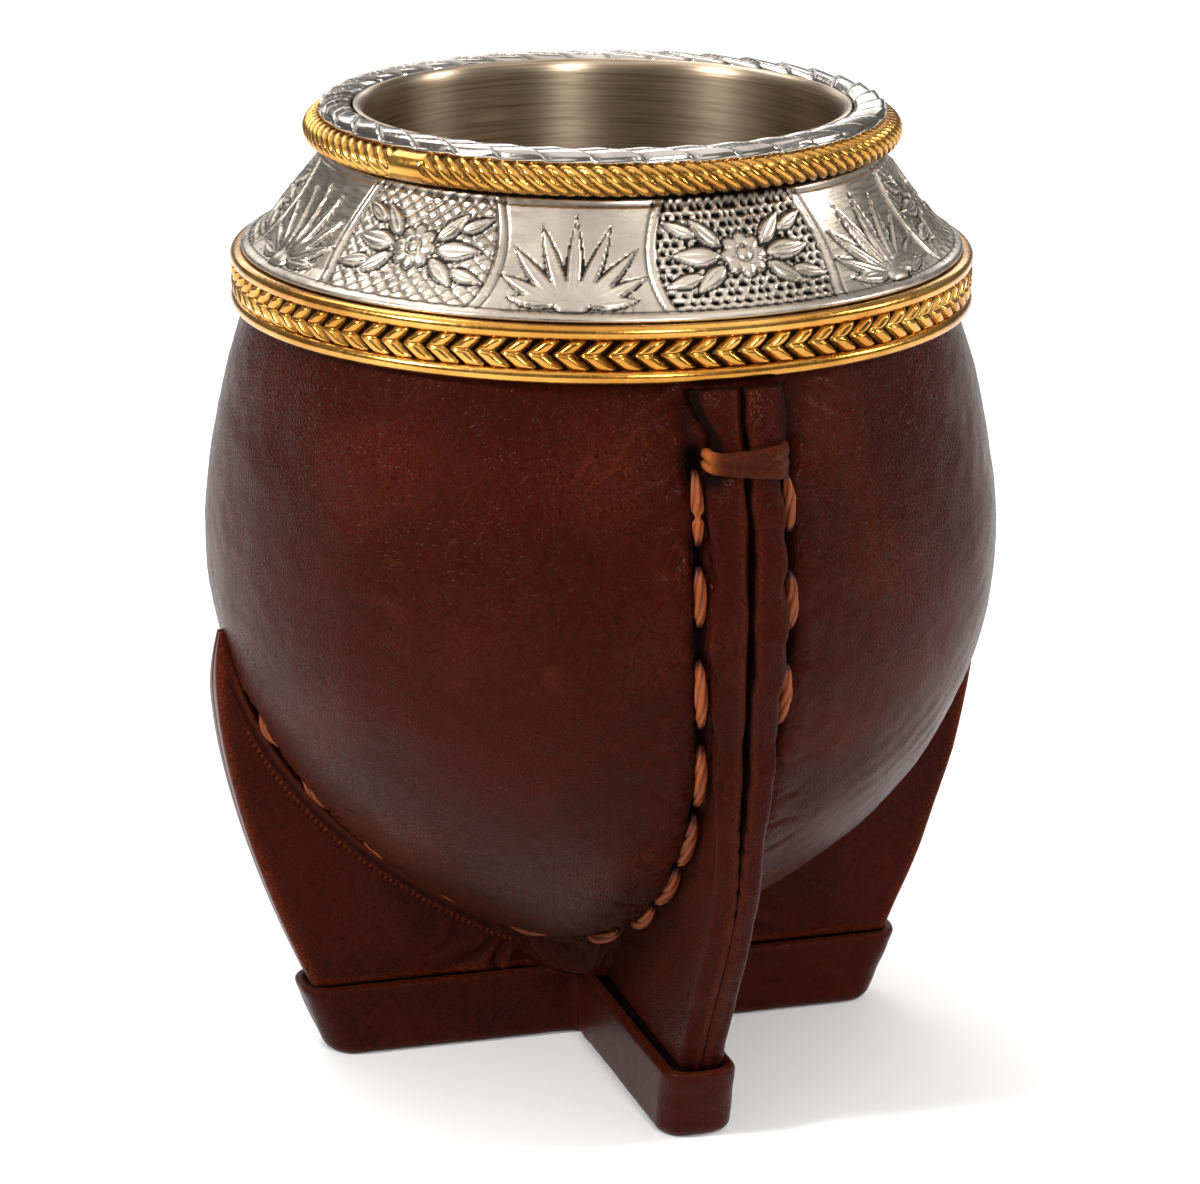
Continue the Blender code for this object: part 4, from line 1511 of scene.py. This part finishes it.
@dataclass
class Foot:
    """The cross foot: thick leather, rounded below, its rim rolled round the fins."""

    top: float = 8.9
    half: float = 4.5
    round: float = 1.2
    corner: float = 3.2
    rim: float = 0.75
    edge: float = 0.8
    recess: float = 0.8
    side_arm: tuple[float, float] = (38.4, 0.42)
    seam_arm: tuple[float, float] = (41.3, 0.25)
    seam_shift: float = 0.9
    underside: tuple[float, float] = (3.6, 2.2)
    nook: float = 0.9
    nook_cut: float = 0.35
    columns: int = 420

    def ring(self, z: float, inset: float) -> Array:
        """The cross's outline at a height: four arms with rounded ends, drawn in all round.

        Args:
            z: The height.
            inset: How far it is drawn in.

        Returns:
            Points, (columns, 3).
        """
        half, corner = self.half - inset, max(self.corner - inset, 0.3)
        line = []
        for arm in range(4):
            seam_side = arm % 2 == 0
            reach, slope = self.seam_arm if seam_side else self.side_arm
            shift, after = (self.seam_shift, 0.0) if seam_side else (0.0, self.seam_shift)
            reach = reach - inset - slope * (self.top - z)
            a = quarter(9)
            left = np.stack([-half + corner * (1 - np.cos(a)), reach - corner * (1 - np.sin(a))], axis=1)
            right = left[::-1] * (-1.0, 1.0)
            near = half - after
            nook = [(half + shift, near + self.nook), (half + shift + self.nook_cut, near + self.nook_cut)]
            local = np.vstack([np.vstack([left, right]) + (shift, 0.0), nook])
            flat = np.stack([local[:, 0], -local[:, 1], np.full(len(local), z)], axis=1)
            line.append(spun(flat, math.pi / 2 * arm))
        loop = np.vstack(line + [line[0][:1]])
        return evenly(loop, self.columns + 1)[:-1]

    def shape(self) -> Shape:
        """The foot: its outline at each level, from the middle of the underside to the recess.

        Returns:
            The shape.
        """
        a, b = quarter(7), quarter(6)[1:]
        levels = [(0.0, inset) for inset in self.underside]
        levels += [(self.round * (1 - math.cos(t)), self.round * (1 - math.sin(t))) for t in a]
        levels += [(z, 0.0) for z in np.linspace(self.round, self.top - self.edge, 12)[1:]]
        levels += [(self.top - self.edge * (1 - math.sin(t)), self.edge * (1 - math.cos(t))) for t in b]
        levels += [(self.top - self.edge * (1 - math.cos(t)), self.rim + self.edge * math.sin(t)) for t in b]
        sunk = self.top - self.recess
        levels += [(sunk - 0.3, self.rim + self.edge + 0.15), (sunk, self.rim + 1.3)]
        rings = np.stack([self.ring(z, inset) for z, inset in levels])
        outward = unit(rings - rings.mean(axis=1, keepdims=True) * (1.0, 1.0, 0.0) - (0.0, 0.0, 4.0))
        rings = rings + outward * (0.05 * waves(rings, 4.0, 500) + 0.05 * waves(rings, 11.0, 501))[..., None]
        rings[..., 2] = np.maximum(rings[..., 2], 0.0)
        rings[0, :, 2] = rings[1, :, 2] = 0.0
        z, inset = np.array(levels).T
        # Painted shade in the recess channel round the fins.
        dark = 0.95 * smooth(inset, self.rim + 0.3, self.rim + 0.6) * (z > 5.0)
        wear = 0.04 + 0.1 * mound(z - self.top, 0.35) + 0.1 * mound(z, 1.0)
        ones = np.ones(rings.shape[:2])
        return capped_tube(rings, (0.0, 0.0, 4.0), hollow=dark[:, None] * ones, wear=wear[:, None] * ones)

    def build(self, leather: Material) -> None:
        """Makes the foot in place of its solid."""
        add_piece("foot_leather", self.shape(), leather, ("foot",), crease=55)


@dataclass
class Straps:
    """The strap over each seam: a creased thong, out of one hole, over both lips, into another."""

    seam: SeamLine = SeamLine()
    z: float = 83.3
    thickness: float = 1.2
    widths: tuple[float, float] = (2.4, 4.2)
    sunk: float = 0.9
    over: float = 0.55
    bend: float = 48.0
    furrow: float = 0.26
    rows: int = 90
    columns: int = 36

    def strap(self) -> Shape:
        """The strap at the front: a flat oval section along a path that hugs the lips.

        The path is a superellipse over the lips, and the section's top is creased by a bell.

        Returns:
            The shape.
        """
        level = np.array(self.z)
        half = float(self.seam.half(level)) - 0.15
        base = float(self.seam.gourd.radius_at(level)) - self.sunk
        rise = float(self.seam.seam_edge(level)) + self.over - base
        a = np.linspace(math.pi, 0.0, 200)
        x = half * bowed(np.cos(a), 0.42) + 0.45
        u = base - (1 - np.sqrt(1 - (x / self.bend) ** 2)) * self.bend + rise * np.sin(a) ** 0.5
        path = evenly(np.stack([x, u], axis=1), self.rows)
        run = unit(np.gradient(path, axis=0))
        out = np.stack([-run[:, 1], run[:, 0]], axis=1)
        t = np.linspace(0.0, 1.0, self.rows)
        width = self.widths[0] + (self.widths[1] - self.widths[0]) * smooth(t, 0.1, 0.95)
        b = np.arange(self.columns) * TAU / self.columns
        flat, thick = bowed(np.cos(b), 0.75), bowed(np.sin(b), 0.6)
        dz = 0.5 * width[:, None] * flat[None, :]
        over = dz / width[:, None]
        furrow = mound(over - 0.02 - 0.1 * t[:, None], 0.07) + 0.7 * mound(over + 0.24 * t[:, None], 0.05)
        lift = 0.5 * self.thickness * thick[None, :] - self.furrow * furrow * (thick > 0)
        points = np.stack(
            [
                float(self.seam.centre(level)) + path[:, :1] + out[:, :1] * lift,
                -(path[:, 1:] + out[:, 1:] * lift),
                self.z - 0.35 * t[:, None] + dz,
            ],
            axis=-1,
        )
        ends = np.maximum(mound(t, 0.03), mound(t - 1.0, 0.03))[:, None]
        # Painted shade at the ends, where the strap goes into its holes, and in the crease's furrows.
        dark = np.clip(ends + 0.35 * furrow * (thick > 0), 0.0, 1.0)
        wear = 0.04 + 1.4 * mound(t - 0.12, 0.08)[:, None] * np.ones_like(dark)
        return capped_tube(points, points[self.rows // 2].mean(axis=0), hollow=dark, wear=wear)

    def build(self, leather: Material) -> None:
        """Makes both straps in place of their solids."""
        for end in Turn:
            node = f"strap_{end.name.lower()}"
            add_piece(f"{node}_thong", self.strap().turned(end.value), leather, (node,))


# Metal


@dataclass
class Liner:
    """The spun steel cup, with its lip rolled out."""

    radius: float = 28.0
    wall: float = 1.0
    floor: float = 31.2
    corner: float = 12.0
    lip_top: float = 115.1
    lip_roll: float = 1.2
    lip_drop: float = 1.8
    columns: int = 192

    def profile(self) -> Array:
        """The outline in (radius, z): the outside up from the floor, the lip, the inside down."""
        a, b = quarter(14), quarter(9)
        outer, inner = self.radius + self.wall, self.radius

        def well(radius: float, floor: float, corner: float) -> Array:
            """A quarter round from a wall in to a floor."""
            return np.stack(
                [radius - corner + corner * np.cos(a), floor + corner - corner * np.sin(a)], axis=1
            )

        under = well(outer, self.floor - self.wall, self.corner + self.wall)[::-1]
        top = self.lip_top
        flare = np.stack(
            [inner + self.lip_roll * (1 - np.cos(b)) * 0.8, top - self.lip_drop * (1 - np.sin(b))], axis=1
        )
        lip = inner + self.lip_roll
        outside = [(outer, top - self.lip_drop), (lip, top - 0.4), (lip, top - 0.1)]
        down = np.linspace(top - self.lip_drop, self.floor + self.corner, 16)[1:-1]
        inside = np.stack([np.full(len(down), inner), down], axis=1)
        bowl = well(inner, self.floor, self.corner)
        start, end = [(2.0, self.floor - self.wall)], [(8.0, self.floor), (2.0, self.floor)]
        return np.vstack([start, under, outside, flare[::-1], inside, bowl, end])

    def build(self, steel: Material) -> None:
        """Makes the liner in place of its solid."""
        radius, z, angle = turned_profile(self.profile(), self.columns)
        shape = capped_tube(around_axis(radius, z, angle), (28.5, 0.0, 80.0))
        add_piece("steel_cup", shape, steel, ("liner",), crease=40)


@dataclass
class RimRing:
    """The bright ring round the mouth: lobes that lie on each other like a twist of flat wire."""

    inner: float = 29.4
    outer: float = 33.3
    top: float = 115.75
    edge_z: float = 114.5
    skirt: tuple[float, float] = (32.75, 113.3)
    inside_z: float = 111.3
    ledge: float = 0.95
    lobes: int = 38
    step: float = 0.6
    lean: float = 1.2
    steps_a_lobe: int = 20

    def build(self, silver: Material) -> None:
        """Makes the ring in place of its solid.

        The top is a rounded section whose height climbs along each lobe, as a power of the phase,
        and drops at its end. The phase is the angle times the count plus a lean
        across the ring.
        """
        across = (self.outer - self.inner) / 2
        middle = (self.outer + self.inner) / 2
        a = np.linspace(math.pi, 0.0, 30)
        crown = np.stack(
            [
                middle + across * bowed(np.cos(a), 0.8),
                self.edge_z + (self.top - self.edge_z) * np.sin(a) ** 0.7,
            ],
            axis=1,
        )
        b = np.linspace(0.0, 1.0, 5)[1:, None]
        lip = np.array([self.outer, self.edge_z]) * (1 - b) + np.array(self.skirt) * b
        skirt_r, skirt_z = self.skirt
        ledge = self.inner + self.ledge
        below = [(skirt_r - 0.4, skirt_z), (ledge, skirt_z)]
        below += [(ledge, self.inside_z), (self.inner, self.inside_z)]
        profile = np.vstack([crown, lip, below])
        radius, z, angle = turned_profile(profile, self.lobes * self.steps_a_lobe)
        over = (radius - self.inner) / (self.outer - self.inner)
        phase = (self.lobes * angle / TAU - self.lean * over) % 1.0
        swell = np.minimum((0.25 + 0.75 * phase) ** 0.8, ((1 - phase) / 0.14) ** 0.6)
        lobed = smooth(z, self.edge_z - 0.1, self.edge_z + 0.5)
        drop = self.step * (1 - swell) * lobed
        # Painted shade: dark round the low step where one lobe ends and the next begins, and a dark line
        # along the skirt's edge over the rope.
        hollow = np.maximum(0.9 * mound(phase - 0.985, 0.05), 0.5 * mound(phase, 0.12)) * lobed
        hollow = np.maximum(hollow, 0.7 * mound(z - skirt_z, 0.3) * (radius > skirt_r - 0.1))
        points = around_axis(radius - 0.7 * drop * smooth(over, 0.7, 1.0), z - drop, angle)
        shape = closed_ring(points, (middle, 0.0, self.edge_z), hollow)
        add_piece("twisted_rim", shape, silver, ("rim_ring",))


@dataclass
class Rope:
    """The gilt rope soldered round the collar's top."""

    radius: float = 33.4
    z: float = 112.4
    half: float = 1.7
    strands: int = 121
    winding: float = 5.0
    fill: float = 0.8
    steps_a_strand: int = 10
    rows: int = 36
    sleeve_angle: float = -0.97
    sleeve_half: float = 0.06

    def build(self, gilt: Material) -> None:
        """Makes the rope in place of its solid.

        The tube's radius is a row of half circles, one for each strand, whose phase is the angle
        round the cup times their count plus the angle round the tube times their winding. A
        short plain sleeve covers the place where the rope's ends meet.
        """
        b = np.arange(self.rows) * TAU / self.rows
        theta = np.arange(self.strands * self.steps_a_strand) * TAU / (self.strands * self.steps_a_strand)
        round_tube, angle = np.meshgrid(b, theta, indexing="ij")
        phase = (self.strands * angle / TAU + self.winding * round_tube / TAU) % 1.0
        bulge = arch(2 * phase / self.fill - 1)
        away = np.abs((angle - self.sleeve_angle + math.pi) % TAU - math.pi)
        sleeve = 1 - smooth(away, self.sleeve_half, self.sleeve_half + 0.02)
        size = self.half * (0.76 + 0.27 * bulge) * (1 - sleeve) + self.half * 1.03 * sleeve
        radius, z = self.radius + size * np.cos(round_tube), self.z + size * np.sin(round_tube)
        points = around_axis(radius, z, angle)
        hollow = np.clip(1.0 - 2.2 * bulge, 0.0, 1.0) * (1 - sleeve)
        shape = closed_ring(points, (0.0, 0.0, self.z), hollow)
        add_piece("gilt_rope", shape, gilt, ("rope_ring",))


@dataclass
class Band:
    """The gilt band under the collar: a braid of leaves between two round beads."""

    radius: float = 43.84
    bottom: float = 91.67
    top: float = 98.35
    wall: float = 1.3
    bead: float = 1.7
    leaves: int = 92
    steps_a_leaf: int = 16
    lean: float = 0.72
    fill: float = 0.76
    recess: float = 0.85
    leaf_height: float = 0.78
    flange: float = 41.6
    strip_rows: int = 28

    def build(self, gilt: Material) -> None:
        """Makes the band in place of its solid.

        The braid's relief is a row of arches whose phase is the angle times their count less a
        lean that grows away from the middle line, so each pair of leaves is a chevron.
        """
        b = np.linspace(math.pi / 2, -math.pi / 2, 10)
        r = self.bead / 2
        upper = np.stack([self.radius - r + r * np.cos(b), self.top - r + r * np.sin(b)], axis=1)
        lower = np.stack([self.radius - r + r * np.cos(b), self.bottom + r + r * np.sin(b)], axis=1)
        low, high = self.bottom + self.bead - 0.1, self.top - self.bead + 0.1
        rows = self.strip_rows
        strip = np.stack([np.full(rows, self.radius - self.recess), np.linspace(high, low, rows)], axis=1)
        profile = np.vstack([[[self.flange, self.top]], upper, strip, lower, [[self.flange, self.bottom]]])
        radius, z, angle = turned_profile(profile, self.leaves * self.steps_a_leaf)
        y = (z - (low + high) / 2) / ((high - low) / 2)
        on_strip = np.zeros(len(profile))
        on_strip[len(upper) + 1 : len(upper) + 1 + rows] = 1.0
        phase = (self.leaves * angle / TAU - self.lean * np.abs(y)) % 1.0
        wide = self.fill * np.where(y > 0, 1 - 0.35 * np.abs(y) ** 3, 1 - 0.12 * np.abs(y) ** 4)
        swell = arch(2 * phase / wide - 1, np.where(y > 0, 2.0, 3.2))
        taper = arch(y, 6) * (1 - 0.6 * mound(y - 0.06, 0.07))
        rise = self.leaf_height * swell * taper * on_strip[:, None]
        hollow = np.clip(1.1 - 3.0 * swell * taper, 0.0, 1.0) * on_strip[:, None]
        points = around_axis(radius + rise, z, angle)
        shape = closed_ring(points, (0.0, 0.0, 95.0), hollow)
        add_piece("braided_gilt", shape, gilt, ("braided_band",))


@dataclass
class Collar:
    """The chased collar: palmettes and rosettes between leaf sprays, on punched and hatched grounds.

    The design is a generic one, from ornament that silversmiths share.

    Attributes:
        quarter: Where the first panel starts, as a part of a repeat.
        spray: A spray's leaves: the root along the collar and its share of the height, the turn, and
            the length and half width.
        boss_up: How far up the palmettes' bosses are.
        petal: The rosette's radius between petals.
        heart: The radius of its middle.
        cell: The spacing of the punched pits.
        net: The spacing of the diamond net.
    """

    top: tuple[float, float] = (32.7, 110.2)
    foot: tuple[float, float] = (42.0, 98.7)
    waist: tuple[float, float] = (40.2, 100.3)
    dish: float = 0.5
    wall: float = 0.9
    columns: int = 1150
    rows: int = 78
    mean_radius: float = 37.0
    repeats: int = 6
    quarter: float = 0.35
    relief: float = 0.46
    spray: tuple[tuple[float, float, float, tuple[float, float]], ...] = (
        (2.9, 0.50, 0.05, (5.8, 1.15)),
        (2.6, 0.42, -0.72, (4.9, 0.95)),
        (2.6, 0.58, 0.80, (4.9, 0.95)),
        (5.4, 0.34, -0.30, (4.4, 0.8)),
        (5.4, 0.68, 0.42, (4.4, 0.8)),
    )
    boss_up: float = 1.5
    petal: float = 2.0
    heart: float = 0.95
    rib_half: float = 0.5
    cell: float = 1.22
    net: float = 1.75

    def profile(self) -> Array:
        """The outer outline in (radius, z), from the rolled foot up to the rope."""
        (top_r, top_z), (waist_r, waist_z), (foot_r, foot_z) = self.top, self.waist, self.foot
        z = np.linspace(waist_z, top_z, 60)
        t = (z - waist_z) / (top_z - waist_z)
        cone = np.stack([waist_r + (top_r - waist_r) * t - self.dish * np.sin(math.pi * t), z], axis=1)
        roll = [(foot_r + 0.5, foot_z - 0.25), (foot_r + 0.62, foot_z + 0.05), (foot_r + 0.3, foot_z + 0.4)]
        roll += [((waist_r + foot_r) / 2 + 0.1, (waist_z + foot_z) / 2 + 0.1)]
        return evenly(np.vstack([roll, cone]), self.rows)

    @staticmethod
    def leaf(a: Array, b: Array, at: tuple[float, float], turn: float, size: tuple[float, float]) -> Array:
        """A chased leaf: an arch across its width, whose half width is a sine of its length.

        Args:
            a: Places along the collar.
            b: Places up it.
            at: The leaf's root.
            turn: Its direction, from along the collar, in radians.
            size: Its length and greatest half width.

        Returns:
            0 outside the leaf, up to 1 at its ridge, with a vein cut into it.
        """
        da, db = a - at[0], b - at[1]
        along = (da * math.cos(turn) + db * math.sin(turn)) / size[0]
        across = (-da * math.sin(turn) + db * math.cos(turn)) / size[1]
        half = np.sin(math.pi * np.clip(along, 0.0, 1.0) ** 0.8)
        inside = np.clip(1 - (across / np.maximum(half, 1e-3)) ** 2, 0.0, 1.0) * (along > 0) * (along < 1)
        vein = 0.55 * mound(across, 0.16) * (along < 0.9)
        return np.sqrt(inside) * (1 - vein)

    def chased(self, a: Array, b: Array, height: float, pitch: float, netted: Array) -> tuple[Array, Array]:
        """The design's relief over the opened-out collar.

        Palmettes stand on plain burnished fields. Between them, past a raised rib, a rosette and
        its leaves lie on a ground of punched pits or of a diamond net, by turns.

        Args:
            a: Places along one repeat, from minus half to plus half of the pitch.
            b: Places up the cone.
            height: The cone's height.
            pitch: One repeat's length.
            netted: 1 where the ground is a diamond net, and 0 where it is pits.

        Returns:
            Relief from -1 to 1, and darkness from 0 to 1: dark chased lines and ground, and painted
            shadow along the two border lines.
        """
        raised, outline = np.zeros_like(a), np.zeros_like(a)
        leaves = []
        for number in range(-4, 5):
            size = ((0.74 - 0.024 * number**2) * height, 0.78)
            leaves.append((a, (0.42 * number, self.boss_up), math.pi / 2 - 0.36 * number, size))
        far = pitch / 2 - np.abs(a)
        leaves += [(far, (out, up * height), turn, size) for out, up, turn, size in self.spray]
        for along, at, turn, size in leaves:
            raised = np.maximum(raised, self.leaf(along, b, at, turn, size))
            behind = (at[0] - 0.3 * math.cos(turn), at[1] - 0.3 * math.sin(turn))
            wider = self.leaf(along, b, behind, turn, (size[0] + 0.6, size[1] + 0.32))
            outline = np.maximum(outline, wider > 0.02)
        low = b - self.boss_up
        boss = np.sqrt(np.clip(1 - (a / 1.7) ** 2 - (low / 1.3) ** 2, 0.0, 1.0))
        db = b - 0.5 * height
        round_about, out = np.arctan2(db, far), np.hypot(db, far)
        petal = self.petal + 0.8 * np.abs(np.cos(4 * round_about)) ** 0.7
        flower = arch(out / petal) * (1 - 0.5 * mound(np.cos(4 * round_about), 0.2))
        flower = np.where(out < self.heart, arch(out / self.heart), flower)
        ring = mound(out - 1.0, 0.14)
        round_boss = (a / 2.1) ** 2 + (low / 1.7) ** 2 < 1
        outline = np.maximum(outline, np.maximum(out < petal + 0.35, round_boss))
        raised = np.maximum(raised, np.maximum(boss, flower))
        rib_at = np.abs(a) - (0.262 * pitch - 1.6 * np.cos(math.pi * (b / height - 0.5)))
        rib = arch(rib_at / self.rib_half)
        beyond = smooth(rib_at, 0.45, 0.65)
        beside_rib = mound(np.abs(rib_at) - 0.68, 0.16)
        cell = self.cell
        row = np.floor(b / (cell * 0.87))
        jitter = 0.13 * np.sin(12.9 * row + 4.1 * np.floor(a / cell)) + 0.1 * np.sin(2.3 * a + 1.7 * b)
        ca = (a / cell + 0.5 * (row % 2) + jitter) % 1.0 - 0.5
        cb = (b / (cell * 0.87)) % 1.0 - 0.5
        pits = smooth(-np.hypot(ca, cb * 0.95), -0.42, -0.28)
        net_a, net_b = ((0.8 * a + b) / self.net) % 1.0 - 0.5, ((0.8 * a - b) / self.net) % 1.0 - 0.5
        net = np.maximum(mound(net_a, 0.075), mound(net_b, 0.075))
        ground = 1 - np.clip(outline, 0.0, 1.0)
        cut = beyond * ground * (pits * (1 - netted) + 0.8 * net * netted)
        edge_line = np.clip(outline, 0.0, 1.0) * (raised < 0.05) + mound(raised - 0.05, 0.06) * (raised > 0.0)
        comb = mound((np.hypot(a, low) / 0.95) % 1.0 - 0.5, 0.12) * smooth(-np.abs(a), -7.6, -5.4)
        comb = comb * ground * (1 - beyond) * smooth(-low, -0.35 * height, -0.15 * height)
        border = mound(b - 0.42, 0.13) + mound(b - height + 0.7, 0.15)
        relief = 0.8 * raised + 0.55 * rib - 0.75 * cut - 0.35 * edge_line - 0.3 * comb
        relief = relief - 0.5 * border - 0.25 * ring - 0.3 * beside_rib * (1 - rib)
        fade = smooth(np.minimum(b, height - b), 0.2, 0.9)
        # The border lines' grooves are real; their darkening is painted shadow, under the rope at the top and
        # over the rolled foot at the bottom.
        dark = cut + 0.95 * edge_line + 0.8 * comb
        dark = dark + 0.85 * border + 0.85 * beside_rib * (1 - rib) + 0.8 * ring
        return relief * fade, np.clip(dark, 0.0, 1.0)

    def build(self, silver: Material) -> None:
        """Makes the collar in place of its solid."""
        outer = self.profile()
        normals = profile_normals(outer)
        normals *= np.sign(normals[:, :1].mean())
        inner = outer[[-1, 50, 25, 0]] - np.array([[self.wall, 0.2]])
        profile = np.vstack([outer, inner])
        radius, z, angle = turned_profile(profile, self.columns)
        cone = outer[:, 1] > self.foot[1] + 0.5
        up = lengths(outer) - lengths(outer)[np.argmax(cone)]
        height = float(up[-1])
        pitch = TAU * self.mean_radius / self.repeats
        turns = angle[: self.rows] * self.mean_radius / pitch + self.quarter + 0.5
        a = (turns % 1.0 - 0.5) * pitch
        netted = (np.floor(turns + 0.5) % 2 == 0).astype(float)
        relief, dark = self.chased(a, np.broadcast_to(up[:, None], a.shape), height, pitch, netted)
        relief = self.relief * relief * smooth(up, 0.0, 0.6)[:, None]
        push = np.zeros(radius.shape + (2,))
        push[: self.rows] = relief[..., None] * normals[:, None, :]
        hollow = np.zeros(radius.shape)
        hollow[: self.rows] = dark * smooth(up, -0.2, 0.2)[:, None]
        points = around_axis(radius + push[..., 0], z + push[..., 1], angle)
        shape = closed_ring(points, (0.0, 0.0, 104.0), hollow)
        add_piece("chased_collar", shape, silver, ("collar",))


# Studio


@dataclass(frozen=True)
class Studio:
    """The photograph's view, a pale floor and soft light."""

    distance: float = 520.3263
    height: float = 211.7086
    turn: float = 16.39
    tilt: float = 16.753
    roll: float = 0.292
    lens: float = 134.8
    floor_colours: tuple[str, str] = ("#f5f4f2", "#faf9f8")
    floor_reach: float = 0.62
    fleck_mm: float = 60.0
    aim: float = 0.06
    room: tuple[tuple[float, float], ...] = ((-1.0, 1.05), (-0.09, 1.05), (0.0, 0.13), (1.0, 0.42))

    def camera(self) -> None:
        """Puts the camera where the photograph was taken from, and makes it the scene's own."""
        turn, tilt, roll = (math.radians(v) for v in (self.turn, self.tilt, self.roll))
        ahead = math.cos(tilt)
        forward = np.array([math.sin(turn) * ahead, math.cos(turn) * ahead, -math.sin(tilt)])
        right = np.array([math.cos(turn), -math.sin(turn), 0.0])
        up = np.cross(right, forward)
        x = right * math.cos(roll) + up * math.sin(roll)
        y = -right * math.sin(roll) + up * math.cos(roll)
        spot = np.array([-self.distance * math.sin(turn), -self.distance * math.cos(turn), self.height]) * MM
        data = bpy.data.cameras.new("photo_camera")
        data.lens = self.lens
        data.sensor_fit = "HORIZONTAL"
        data.sensor_width = 36.0
        data.clip_start = 0.02
        bpy.context.scene.camera = put("photo_camera", data, (x, y, -forward, spot))

    def lamp(
        self, name: str, spot: tuple[float, float, float], size: tuple[float, float], power: float
    ) -> None:
        """Adds a soft box that faces the cup's middle.

        Args:
            name: The light's name.
            spot: Its place, in metres.
            size: Its width and height, in metres.
            power: Its power, in watts.
        """
        data = bpy.data.lights.new(name, "AREA")
        data.shape = "RECTANGLE"
        data.size, data.size_y = size
        data.energy = power
        away = unit(np.array(spot) - (0.0, 0.0, self.aim))
        side = unit(np.cross((0.0, 0.0, 1.0), away))
        put(name, data, (side, np.cross(away, side), away, np.array(spot)))

    def sky(self) -> None:
        """Makes the room by a ramp on the direction's height: white below, dim at eye level."""
        world = bpy.data.worlds.new("studio")
        world.use_nodes = True
        nodes = Nodes(world.node_tree)
        height = nodes.add("SeparateXYZ", inputs={0: nodes.add("TexCoord").outputs["Generated"]})
        level = nodes.add("MapRange", inputs={"From Min": -1.0, "Value": height.outputs["Z"]})
        grey = nodes.ramp(level.outputs[0], *((0.5 + up / 2, light) for up, light in self.room))
        nodes.tree.links.new(grey, nodes.tree.nodes["Background"].inputs["Color"])
        bpy.context.scene.world = world

    def floor(self) -> None:
        """Makes the pale floor."""
        recipe = Recipe("pale_floor", Roughness=0.7)
        fleck = recipe.noise(recipe.place(), self.fleck_mm).outputs["Fac"]
        low, high = self.floor_colours
        pale = recipe.ramp(fleck, (0.3, low), (0.7, high))
        recipe.tree.links.new(pale, recipe.surface.inputs["Base Color"])
        mesh = bpy.data.meshes.new("floor")
        x = self.floor_reach
        mesh.from_pydata([(-x, -x, 0), (x, -x, 0), (x, x, 0), (-x, x, 0)], [], [(0, 1, 2, 3)])
        mesh.materials.append(recipe.material)
        put("floor", mesh)

    def build(self) -> None:
        """Makes the floor, the light and the camera."""
        bpy.context.scene.view_settings.view_transform = "Standard"
        self.sky()
        self.lamp("left_softbox", (-0.78, -0.14, 0.6), (0.14, 0.18), 6.6)
        self.lamp("right_softbox", (0.86, -0.2, 0.55), (0.14, 0.26), 3.6)
        self.lamp("front_softbox", (0.02, -1.0, 0.6), (0.14, 0.3), 5.6)
        self.lamp("top_softbox", (0.0, -0.2, 1.45), (2.2, 2.0), 14.0)
        self.lamp("low_back_softbox", (0.25, 1.1, 0.5), (1.3, 0.22), 2.4)
        self.lamp("back_softbox", (-0.2, 0.9, 1.2), (1.2, 0.5), 10.0)
        self.floor()
        self.camera()


def main() -> None:
    """Builds the whole cup over its frame."""
    logging.basicConfig(level=logging.INFO, format="%(message)s", stream=sys.stdout)
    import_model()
    finishes = Finishes.make()
    sewing = Sewing()
    Studio().build()
    Belly(sewing).build(finishes.belly)
    SeamCheeks(sewing).build(finishes.belly)
    SideFins().build(finishes.smooth_leather)
    CornerWebs(sewing).build(finishes.smooth_leather)
    Foot().build(finishes.smooth_leather)
    Straps().build(finishes.strap)
    Stitches(sewing).build(finishes.thread)
    Liner().build(finishes.steel)
    RimRing().build(finishes.bright)
    Rope().build(finishes.gilt)
    Band().build(finishes.gilt)
    Collar().build(finishes.antique)


if __name__ == "__main__":
    main()
